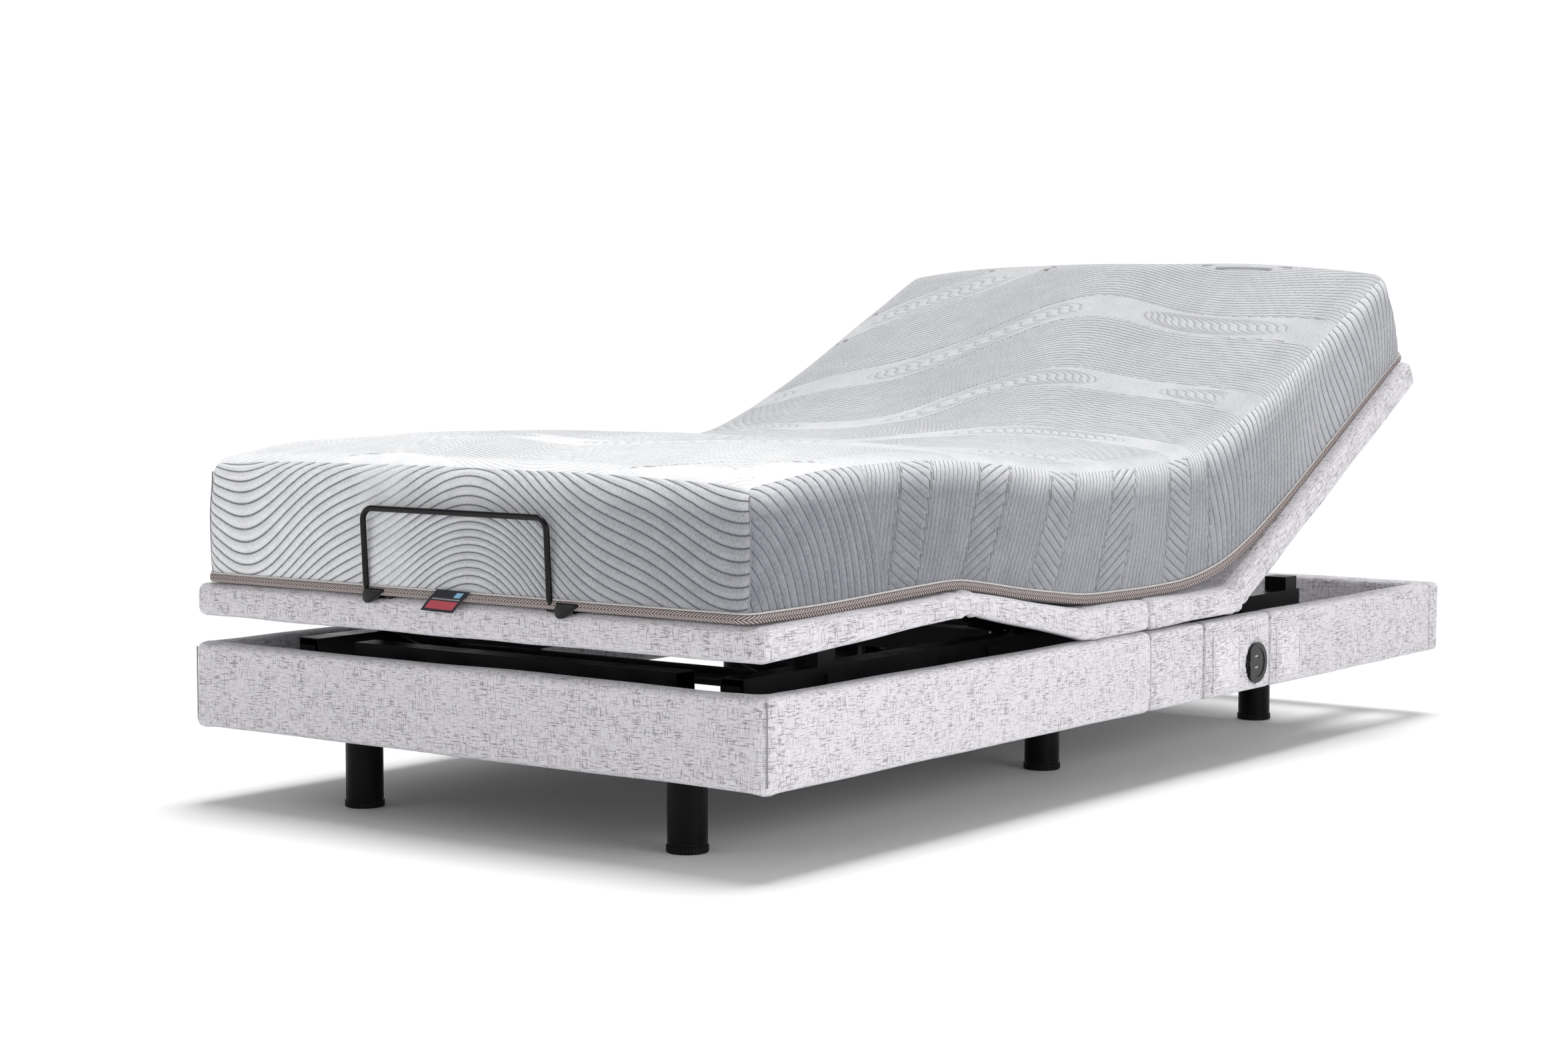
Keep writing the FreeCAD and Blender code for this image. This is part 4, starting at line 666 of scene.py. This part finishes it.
def border_ring(profile, cell=0.006):
    """A band round the mattress edge: each profile point is out and up from the bottom edge."""
    r = EDGE_ROUND
    corners = [(0, 0), (MATTRESS_LONG, 0), (MATTRESS_LONG, 2 * HALF_WIDE), (0, 2 * HALF_WIDE)]
    path, out = [], []
    for k, (start, end) in enumerate(zip(corners, corners[1:] + corners[:1])):
        start, end = np.array(start, float), np.array(end, float)
        along = (end - start) / np.linalg.norm(end - start)
        normal = np.array([along[1], -along[0]])
        length = np.linalg.norm(end - start)
        for t in np.arange(r, length - r, cell):
            path.append(start + along * t)
            out.append(normal)
        centre = end - along * r - normal * r
        for t in np.linspace(0, math.pi / 2, 9)[:-1]:
            lean = normal * math.cos(t) + along * math.sin(t)
            path.append(centre + lean * r)
            out.append(lean)
    path, out = np.array(path), np.array(out)
    run = chords(np.vstack([path, path[:1]]))
    rings = []
    for reach, rise in profile:
        flat = path + out * reach
        rings.append(mattress_place(np.column_stack([flat, np.full(len(flat), rise)])))
    points = np.stack(rings, 1)
    n, m = points.shape[:2]
    faces, cloth, along = [], [], []
    for i in range(n):
        j = (i + 1) % n
        for k in range(m):
            q = (k + 1) % m
            faces.append((i * m + k, j * m + k, j * m + q, i * m + q))
            low, top = profile[k][1], profile[q][1]
            here, there = run[i], run[i + 1]
            cloth.append([(here, low, 0), (there, low, 0), (there, top, 0), (here, top, 0)])
            along.append((path[i, 0] + path[j, 0]) / 2)
    return points.reshape(-1, 3), np.array(faces), np.array(cloth), np.array(along)


TAPE = [
    (-0.006, 0.0008), (0.0030, 0.0012), (0.0042, 0.0040),
    (0.0044, 0.0085), (0.0034, 0.0118), (-0.006, 0.0125),
]
CORD = [
    (0.0012 + 0.0019 * math.cos(t), 0.0140 + 0.0014 * math.sin(t))
    for t in np.linspace(0, 2 * math.pi, 9)[:-1]
]
for name, profile, finish in (("mattress_tape", TAPE, BRAID), ("mattress_piping", CORD, PIPING)):
    points, faces, cloth, along = border_ring(profile)
    for word, keep in zones(along, cuts).items():
        used, index = np.unique(faces[keep], return_inverse=True)
        part = mesh_object(f"{name}_{word}", points[used], index.reshape(-1, 4), finish)
        corner_values(part, "cloth", cloth[keep].reshape(-1, 3))
        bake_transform(part)

for word, x in (("left", 0.0), ("right", 2 * HALF_WIDE)):
    rise = np.linspace(0.015, THICK - 0.012, 40)
    level = np.column_stack([0 * rise, 0 * rise, rise])
    inward = mattress_radii(level)[:, 0] * CORNER_LOSS + 0.0003
    across = x + inward if x == 0 else x - inward
    line = mattress_place(np.column_stack([inward, across, rise]))
    seam = tube(f"mattress_corner_seam_{word}", line, 0.0010, THREAD)
    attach(seam, "foot_section")


# ---------------------------------------------------------------- deck covers

DECK_LOW = [
    (-0.998, 0.2768), (-0.5225, 0.3018), (-0.208, 0.2370), (-0.0330, 0.2378),
    (-0.0300, 0.2378), (0.253, 0.2415), (0.898, 0.5950),
]
DECK_TOP = [
    (-0.998, 0.3245), (-0.5270, 0.3345), (-0.213, 0.2850), (-0.0330, 0.2845),
    (-0.0300, 0.2845), (0.236, 0.2840), (0.8750, 0.6370),
]
DECK_WIDE = 0.525
DECK_THICK = 0.048
HOLLOW_HALF, HOLLOW_RIM, HOLLOW_DEEP = 0.495, 0.035, 0.028
ROUND_ENDS = ((0.012, 0.012),) * 3
SEAM = 3


def deck_lines(part, radii):
    """Low, top and middle lines of a deck slab, rounded, and the distances along the middle."""
    low, top = filleted(DECK_LOW[part], radii), filleted(DECK_TOP[part], radii)
    middle = (low + top) / 2
    return low, top, middle, chords(middle)


def along_at(lines, y):
    """Distance along a slab at a place on the bed's long axis."""
    return float(np.interp(y, lines[2][:, 0], lines[3]))


def deck_block(lines, folds, seed):
    """A padded slab, sunk underneath inside its rim, where the frames lie."""
    low, top, _, at = lines
    length = at[-1]

    def place(p):
        share = p[:, 2] / DECK_THICK
        lows, tops = on_line(low, at, p[:, 0]), on_line(top, at, p[:, 0])
        return np.column_stack([p[:, 1] - DECK_WIDE, lows + (tops - lows) * share[:, None]])

    block = Block((length, 2 * DECK_WIDE, DECK_THICK), (0.006, 0.02, 0.005),
                  (0.010, 0.010, 0.011), place, ROUND_ENDS)
    a, x, h = block.flat.T
    wall = np.clip(np.minimum(a, length - a) / 0.03, 0, 1) * 0.4 + 0.6
    swell = 0.0016 * np.sin(math.pi * np.clip(h / DECK_THICK, 0, 1)) * wall
    wrinkles = np.zeros(len(a))
    outside = ease((np.abs(x - DECK_WIDE) - 0.44) / 0.06)
    for fold_at, places in folds:
        wrinkles += hills(a - fold_at + 0.10 * (h - DECK_THICK / 2), places) * outside
    block.push(swell + wrinkles + 0.0010 * ripple(block.flat, 0.16, seed))
    under = (h < 1e-6) & (np.abs(x - DECK_WIDE) < HOLLOW_HALF)
    under &= (a > HOLLOW_RIM) & (a < length - HOLLOW_RIM)
    block.points[under, 2] += HOLLOW_DEEP
    return block


foot_lines = deck_lines(slice(None, SEAM + 1), (0.012, 0.05))
head_lines = deck_lines(slice(SEAM + 1, None), (0.03,))
# each fold is centre, half width and height
KNEE_FOLDS = [
    (-0.028, 0.006, 0.0020), (-0.012, 0.005, -0.0018), (0.004, 0.006, 0.0026),
    (0.018, 0.004, -0.0016),
]
DIP_FOLDS = [(-0.02, 0.010, 0.0010), (0.0, 0.005, -0.0014), (0.02, 0.010, 0.0010)]
RISE_FOLDS = [
    (-0.022, 0.006, 0.0018), (-0.010, 0.004, -0.0022), (0.002, 0.005, 0.0024),
    (0.014, 0.004, -0.0020), (0.026, 0.006, 0.0014),
]
knee, dip, split = (along_at(foot_lines, y) for y in (-0.525, -0.210, CUT_Y[0]))
foot_deck = deck_block(foot_lines, [(knee, KNEE_FOLDS), (dip, DIP_FOLDS)], 11)
head_deck = deck_block(head_lines, [(along_at(head_lines, 0.245), RISE_FOLDS)], 12)
middle = foot_deck.corners[..., 0].mean(1)
DECKS = (
    ("deck_head_cover", head_deck, None, "base", "back_section",
     (0, 0.202, 0.262), (0, 0.300, 0.287), ["back_cover", "back_board"]),
    ("deck_seat_cover", foot_deck, middle >= split, "base", "thigh_section",
     (0, -0.158, 0.262), (0, -0.258, 0.272),
     ["seat_covers", "seat_boards", "thigh_cover", "thigh_board"]),
    ("deck_foot_cover", foot_deck, middle < split, "thigh_section", "foot_section",
     (0, -0.475, 0.310), (0, -0.575, 0.313), ["foot_cover", "foot_board"]),
)
for name, slab, keep, first, second, start, end, stands in DECKS:
    part = slab.piece(name, LINEN, keep)
    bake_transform(part)
    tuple(start)
    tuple(end)
    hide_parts(*stands)


# ---------------------------------------------------------------- upholstered rails


def rail_block(low, high, seed, cell):
    """A padded rail in the box of its CAD solid."""
    low, high = np.array(low), np.array(high)
    size = high - low
    cells = (0.02, cell, min(cell, 0.006))
    block = Block(size, cells, (0.010,) * 3, lambda p: p + low, ROUND_ENDS)
    long = 1 if size[1] > size[0] else 0
    a = block.flat[:, long]
    near = np.minimum(a, size[long] - a)
    level = np.sin(math.pi * np.clip(block.flat[:, 2] / size[2], 0, 1)) ** 0.7
    swell = 0.0022 * ease(near / 0.05) * level
    block.push(swell - 0.0006 + 0.0008 * ripple(block.flat, 0.2, seed))
    return block


def foot_rails():
    """One padded cover round the foot: the foot rail and the first length of both side rails."""
    low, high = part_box("rail_cover_foot")
    side_low, side_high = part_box("rail_cover_foot_right")
    outer, inner = high.x, side_low.x
    back, front, inside = side_high.y, low.y, high.y
    out_line, in_line = (
        filleted([(wide, back), (wide, end), (-wide, end), (-wide, back)], (radius, radius))
        for wide, end, radius in ((outer, front, 0.012), (inner, inside, 0.003))
    )
    at = chords((out_line + in_line) / 2)
    thick, tall = outer - inner, high.z - low.z

    def place(p):
        share = (p[:, 2] / thick)[:, None]
        outs, ins = on_line(out_line, at, p[:, 0]), on_line(in_line, at, p[:, 0])
        return np.column_stack([ins + (outs - ins) * share, p[:, 1] + low.z])

    block = Block((at[-1], tall, thick), (0.008, 0.006, 0.006), (0.008, 0.011, 0.011), place,
                  ((0.01, 0.01),) + ROUND_ENDS[1:])
    a, z = block.flat[:, 0], block.flat[:, 1]
    corner = 1 + CORNER_SAMPLES // 2
    bends = at[corner], at[corner + CORNER_SAMPLES]
    far = np.minimum(np.abs(a - bends[0]), np.abs(a - bends[1]))
    swell = 0.0020 * ease(far / 0.06) * np.sin(math.pi * np.clip(z / tall, 0, 1)) ** 0.7
    pucker = hills(far, [(0.0, 0.012, 0.0022)])
    pucker = pucker * (ease((0.03 - z) / 0.03) + 0.6 * ease((z - tall + 0.03) / 0.03))
    folds = 0.0011 * np.sin(z * 95 + 1.3) * hills(far, [(0.03, 0.02, 1.0)])
    folds = folds * ease((z - 0.02) / 0.04)
    block.push(swell + pucker + folds + 0.0009 * ripple(block.flat, 0.2, 21))
    return block, place, tall, thick, bends


rail, rail_place, tall, thick, bends = foot_rails()
part = rail.piece("rail_cover_round_foot", LINEN)
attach(part, "base")
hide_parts("rail_cover_foot", "rail_cover_foot_left", "rail_cover_foot_right")
for word, bend in zip(("right", "left"), bends):
    height = np.linspace(0.010, tall - 0.006, 30)
    line = rail_place(np.column_stack([np.full(30, bend), height, np.full(30, thick + 0.0004)]))
    seam = tube(f"rail_corner_seam_{word}", line, 0.0009, THREAD)
    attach(seam, "base")

RAILS = ["rail_cover_head"] + [
    f"rail_cover_{word}_{side}" for word in ("middle", "socket", "head") for side in ("left", "right")
]
SIDES = (("left", -1), ("right", 1))
low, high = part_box("usb_modules")
MODULES = {word: (sign, sign * high.x, (low.z + high.z) / 2) for word, sign in SIDES}
MODULE_Y, MODULE_RADIUS = 0.300, 0.0325


def hollow(block, word):
    """Sinks the fabric behind the round module, which stands in its hole."""
    outer_from, flush_x, rim, gap, sunk = 0.52, 0.5290, 0.012, 0.0022, 0.022
    sign, _, z = MODULES[word]
    p = block.points
    away = np.hypot(p[:, 1] - MODULE_Y, p[:, 2] - z)
    outer = p[:, 0] * sign > outer_from
    level = ease((away - MODULE_RADIUS) / rim)
    p[outer, 0] = (sign * flush_x * (1 - level) + p[:, 0] * level)[outer]
    inside = outer & (away < MODULE_RADIUS - gap)
    p[inside, 0] -= sign * sunk


for number, name in enumerate(RAILS):
    word = "left" if "left" in name else "right"
    socket = "socket" in name
    padded_rail = rail_block(*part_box(name), seed=30 + number, cell=0.003 if socket else 0.02)
    if socket:
        hollow(padded_rail, word)
    part = padded_rail.piece(name + "_padded", LINEN)
    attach(part, "base")
    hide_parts(name)


# ---------------------------------------------------------------- patches, ports and label


def dashes(name, path, length, gap, radius, material):
    """A row of short stitches along a closed or open path."""
    path = np.asarray(path, float)
    at = chords(path)
    verts, faces = [], []
    for start in np.arange(gap / 2, at[-1] - length, length + gap):
        ends = [np.array([np.interp(s, at, path[:, k]) for k in range(3)])
                for s in (start, start + length)]
        along = (ends[1] - ends[0]) / max(np.linalg.norm(ends[1] - ends[0]), 1e-9)
        side = np.cross(along, (1.0, 0.0, 0.0))
        rings = []
        for share, wide in ((0.0, 0.3), (0.2, 1.0), (0.8, 1.0), (1.0, 0.3)):
            centre = ends[0] + (ends[1] - ends[0]) * share
            for turn in np.linspace(0, 2 * math.pi, 7)[:-1]:
                lean = side * math.cos(turn) + np.array((1.0, 0.0, 0.0)) * math.sin(turn)
                rings.append(centre + lean * radius * wide)
        base = len(verts)
        verts += rings
        for i in range(3):
            for k in range(6):
                m = (k + 1) % 6
                low = base + i * 6
                faces.append((low + k, low + m, low + 6 + m, low + 6 + k))
        faces.append(tuple(base + k for k in range(6))[::-1])
        faces.append(tuple(base + 18 + k for k in range(6)))
    return mesh_object(name, verts, faces, material)


PATCH_LOW, PATCH_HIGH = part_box("side_patches")
PATCHES = (("front", 0.1555, 0.2450), ("rear", 0.3685, 0.4545))
PATCH_X, PATCH_THICK, STITCH_X, INSET = 0.5296, 0.0026, 0.5326, 0.0055
STITCH = plain_cloth("stitch_thread", rgb(0.58, 0.56, 0.60), rgb(0.42, 0.40, 0.44))
first = None
for word, sign in SIDES:
    for spot, y0, y1 in PATCHES:
        size = (PATCH_THICK, y1 - y0, PATCH_HIGH.z - PATCH_LOW.z)
        origin = np.array((PATCH_X if sign > 0 else -PATCH_X - PATCH_THICK, y0, PATCH_LOW.z))
        patch = Block(size, (PATCH_THICK, 0.005, 0.005), (0.0012, 0.003, 0.003),
                      lambda p: p + origin, ((PATCH_THICK / 2,) * 2, (0.006,) * 2, (0.006,) * 2))
        y, z = patch.flat[:, 1], patch.flat[:, 2]
        rim = np.minimum(np.minimum(y, size[1] - y), np.minimum(z, size[2] - z))
        puffed = 0.0010 * ease((rim - 0.006) / 0.012) - hills(rim, [(INSET, 0.0018, 0.0007)])
        flap = 0.0012 * ease((0.006 - y) / 0.006)
        lift = (puffed + flap) * (patch.flat[:, 0] * sign > sign * PATCH_THICK / 2)
        patch.points[:, 0] += sign * lift
        part = patch.piece(f"side_patch_{spot}_{word}", PATCH_LINEN)
        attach(part, "base")
        if first is None:
            first = part
            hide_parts("side_patches")
        near, far = y0 + INSET, y1 - INSET
        low, top = PATCH_LOW.z + INSET, PATCH_HIGH.z - INSET
        loop = [(sign * STITCH_X, y, z)
                for y, z in ((near, low), (far, low), (far, top), (near, top), (near, low))]
        row = dashes(f"side_patch_stitches_{spot}_{word}", loop, 0.0034, 0.0016, 0.0004, STITCH)
        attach(row, "base")

SYMBOL = painted("symbol_grey", rgb(0.42, 0.43, 0.45), 0.5, wear=0.0)
TONGUE = painted("port_tongue", rgb(0.55, 0.53, 0.50), 0.4)
SHELL = FINISHES["zinc_steel"]


def slab(name, low, high, radius, material):
    """A small box with rounded edges."""
    low, high = np.minimum(low, high), np.maximum(low, high)
    size = high - low
    block = Block(size, size / 3, (radius,) * 3, lambda p: p + low, ((radius, radius),) * 3)
    return block.piece(name, material)


# walls of a port's shell: name, then from and to along the rail, then from and to in height
SHELL_WALLS = (
    ("top", -0.0063, 0.0063, 0.0020, 0.0026),
    ("base", -0.0063, 0.0063, -0.0026, -0.0020),
    ("side_a", -0.0063, -0.0057, -0.0020, 0.0020),
    ("side_b", 0.0057, 0.0063, -0.0020, 0.0020),
)
# signs between the ports: place along the rail, width, height
MARKS = ((-0.0052, 0.0022, 0.0022), (-0.0020, 0.0026, 0.0008),
         (0.0022, 0.0030, 0.0024), (0.0052, 0.0018, 0.0012))
DISH, PORT_DEEP, PORT_RISE = 0.0015, 0.0105, 0.009
for word, (sign, face, z) in MODULES.items():
    dish = face - sign * DISH

    def box_at(name, out0, out1, y0, y1, z0, z1, radius, material):
        """A small box from the module's dish outward, along the rail and up from its middle."""
        return slab(f"{name}_{word}", np.array((dish + sign * out0, MODULE_Y + y0, z + z0)),
                    np.array((dish + sign * out1, MODULE_Y + y1, z + z1)), radius, material)

    for spot, up in (("lower", -PORT_RISE), ("upper", PORT_RISE)):
        for wall, y0, y1, z0, z1 in SHELL_WALLS:
            part = box_at(f"port_shell_{spot}_{wall}", -PORT_DEEP, -0.0004,
                          y0, y1, up + z0, up + z1, 0.0002, SHELL)
            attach(part, "base")
        part = box_at(f"port_tongue_{spot}", -PORT_DEEP, -0.0012,
                      -0.0050, 0.0050, up - 0.0002, up + 0.0016, 0.0003, TONGUE)
        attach(part, "base")
    for number, (y, wide, high) in enumerate(MARKS):
        part = box_at(f"module_mark_{number}", -0.0003, 0.00025,
                      y - wide / 2, y + wide / 2, -high / 2, high / 2, 0.00015, SYMBOL)
        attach(part, "base")


def label_cloth():
    """Dark woven label with plain fields: a red one, a pale bar and a small blue one."""
    p = Paint("label_cloth")
    cloth = p.attribute("cloth")
    u, v, _ = p.split(cloth)

    def field(cu, cv, half_u, half_v):
        away_u, away_v = (p.minus(p.math("ABSOLUTE", p.minus(along, centre)), half)
                          for along, centre, half in ((u, cu, half_u), (v, cv, half_v)))
        return p.step(p.math("MAXIMUM", away_u, away_v), -0.0004, 0.0004, 1.0, 0.0)

    threads = p.wave(cloth, 420.0, "Y", 0.3)
    colour = p.mix(field(0.0315, 0.0125, 0.026, 0.0075), rgb(0.012, 0.014, 0.022), rgb(0.42, 0.06, 0.08))
    colour = p.mix(field(0.0315, 0.0235, 0.026, 0.0012), colour, rgb(0.25, 0.24, 0.27))
    colour = p.mix(field(0.048, 0.0320, 0.0060, 0.0045), colour, rgb(0.22, 0.45, 0.62))
    return p.finish(colour, 0.6, p.bump(threads, 0.5, 0.0003), specular=0.3)


def hanging_label():
    """A small cloth label that hangs from the tape at the foot, bent a little outward."""
    cols, rows = 22, 16
    wide, long = 0.063, 0.040
    top_left, top_right = np.array(((-0.0334, -1.0052, 0.3440), (0.0285, -1.0052, 0.3430)))
    lean = np.array((-0.0285, -0.0040, -0.0300))
    points, cloth = [], []
    for j in range(rows + 1):
        for i in range(cols + 1):
            u, v = i / cols, j / rows
            p = top_left + (top_right - top_left) * u + lean * v
            p[1] -= 0.0016 * math.sin(math.pi * v) + 0.0022 * v * v * math.sin(math.pi * u * 0.9)
            points.append(p)
            cloth.append((u * wide, (1 - v) * long, 0.0))
    step = cols + 1
    starts = [j * step + i for j in range(rows) for i in range(cols)]
    faces = [(s, s + step, s + step + 1, s + 1) for s in starts]
    label = mesh_object("mattress_label", points, faces, label_cloth())
    corner_values(label, "cloth", [cloth[k] for f in faces for k in f])
    return label


label = hanging_label()
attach(label, "foot_section")


def gusset(name, x):
    """Black plate under the wire's foot, against the front of the deck."""
    outline = [(0.0, 0.3385), (0.034, 0.3380), (0.036, 0.3345), (0.028, 0.3300), (0.019, 0.3225),
               (0.010, 0.3175), (0.002, 0.3170), (-0.003, 0.3205), (-0.004, 0.3290)]
    n = len(outline)
    centre = np.mean(outline, axis=0)
    rings = [(0.86, -1.0085), (1.0, -1.0074), (1.0, -1.0002)]
    points = [(x + centre[0] + (px - centre[0]) * k, y, centre[1] + (pz - centre[1]) * k)
              for k, y in rings for px, pz in outline]
    faces = [tuple(range(n))]
    for i in range(2):
        low, top = i * n, (i + 1) * n
        faces += [(low + k, top + k, top + (k + 1) % n, low + (k + 1) % n) for k in range(n)]
    faces.append(tuple(2 * n + k for k in range(n))[::-1])
    piece = mesh_object(name, points, faces, FINISHES["retainer_steel"])
    rounded = piece.modifiers.new("edges", "BEVEL")
    rounded.width, rounded.segments = 0.0007, 2
    return piece


wire_low, wire_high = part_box("mattress_retainer")
for word, x in (("left", wire_low.x + 0.012), ("right", wire_high.x - 0.036 + 0.014)):
    part = gusset(f"retainer_gusset_{word}", x)
    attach(part, "foot_section")


# ---------------------------------------------------------------- carried CAD nodes

SLOT_OF = {row["node"]: row.get("material_slot") for row in frame["record"]["subparts"]}
for name, node in NODES.items():
    node.data.materials.clear()
    node.data.materials.append(FINISHES[SLOT_OF[name]])


# ---------------------------------------------------------------- floor, light and camera


def floor_paint():
    """White floor with a painted shadow: its colour is darker where the bed keeps the light off it."""
    half_x, half_y, shift = 0.20, 0.76, 0.08
    p = Paint("floor_white_with_painted_shadow")
    x, y, _ = p.split(p.position())
    out_x, out_y = (
        p.math("MAXIMUM", p.minus(p.math("ABSOLUTE", place), half), 0.0)
        for place, half in ((p.plus(x, shift), half_x), (y, half_y))
    )
    far = p.math("POWER", p.plus(p.times(out_x, out_x), p.times(out_y, out_y)), 0.5)
    # Painted shadow: the floor's colour darkens under the bed and fades out a little beyond its outline.
    colour = p.mix(p.step(far, 0.0, 0.26, 0.40, 0.0), rgb(0.95, 0.95, 0.95), rgb(0.12, 0.12, 0.12))
    return p.finish(colour, 0.75, specular=0.2)


bpy.ops.mesh.primitive_plane_add(size=60, location=(0, 0, 0))
floor = bpy.context.object
floor.name = "studio_floor"
floor.data.materials.append(floor_paint())


def area_light(name, place, target, size, power):
    data = bpy.data.lights.new(name, "AREA")
    data.shape = "RECTANGLE"
    data.size, data.size_y = size
    data.energy = power
    lamp = add_object(name, data)
    lamp.location = place
    toward = np.array(target, float) - np.array(place, float)
    yaw = math.atan2(toward[0], -toward[1])
    tilt = math.atan2(math.hypot(toward[0], toward[1]), -toward[2])
    lamp.rotation_euler = (tilt, 0.0, yaw + math.pi)


sun = bpy.data.lights.new("overhead", "SUN")
sun.energy = 2.3
sun.angle = math.radians(26)
overhead = add_object("overhead", sun)
overhead.rotation_euler = (math.radians(-10), math.radians(-2), 0.0)
area_light("right_side", (4.4, -1.0, 1.3), (0.3, 0.0, 0.3), size=(2.6, 2.0), power=66)
area_light("foot_left", (-2.2, -4.6, 1.5), (-0.3, -0.9, 0.35), size=(2.0, 1.6), power=15)

world = bpy.data.worlds.new("studio")
bpy.context.scene.world = world
world.use_nodes = True
sky = world.node_tree
height = sky.nodes.new("ShaderNodeSeparateXYZ")
sky.links.new(sky.nodes.new("ShaderNodeTexCoord").outputs["Generated"], height.inputs[0])
band = sky.nodes.new("ShaderNodeMapRange")
band.interpolation_type = "SMOOTHSTEP"
sky.links.new(height.outputs[2], band.inputs["Value"])
for key, value in (("From Min", 0.20), ("From Max", 0.55), ("To Min", 1.03), ("To Max", 0.30)):
    band.inputs[key].default_value = value
sky.links.new(band.outputs[0], sky.nodes["Background"].inputs[1])
sky.nodes["Background"].inputs[0].default_value = rgb(1.0, 1.0, 1.0)

lens = bpy.data.cameras.new("photo_camera")
lens.sensor_width = 36.0
lens.lens = 66.94
camera = add_object("photo_camera", lens)
CAMERA_DOWN, CAMERA_TURN = 0.0723, 0.6446
camera.location = (2.729, -3.8911, 0.7224)
camera.rotation_euler = (math.pi / 2 - CAMERA_DOWN, 0.0, CAMERA_TURN)
bpy.context.scene.camera = camera
bpy.context.scene.view_settings.view_transform = "Standard"
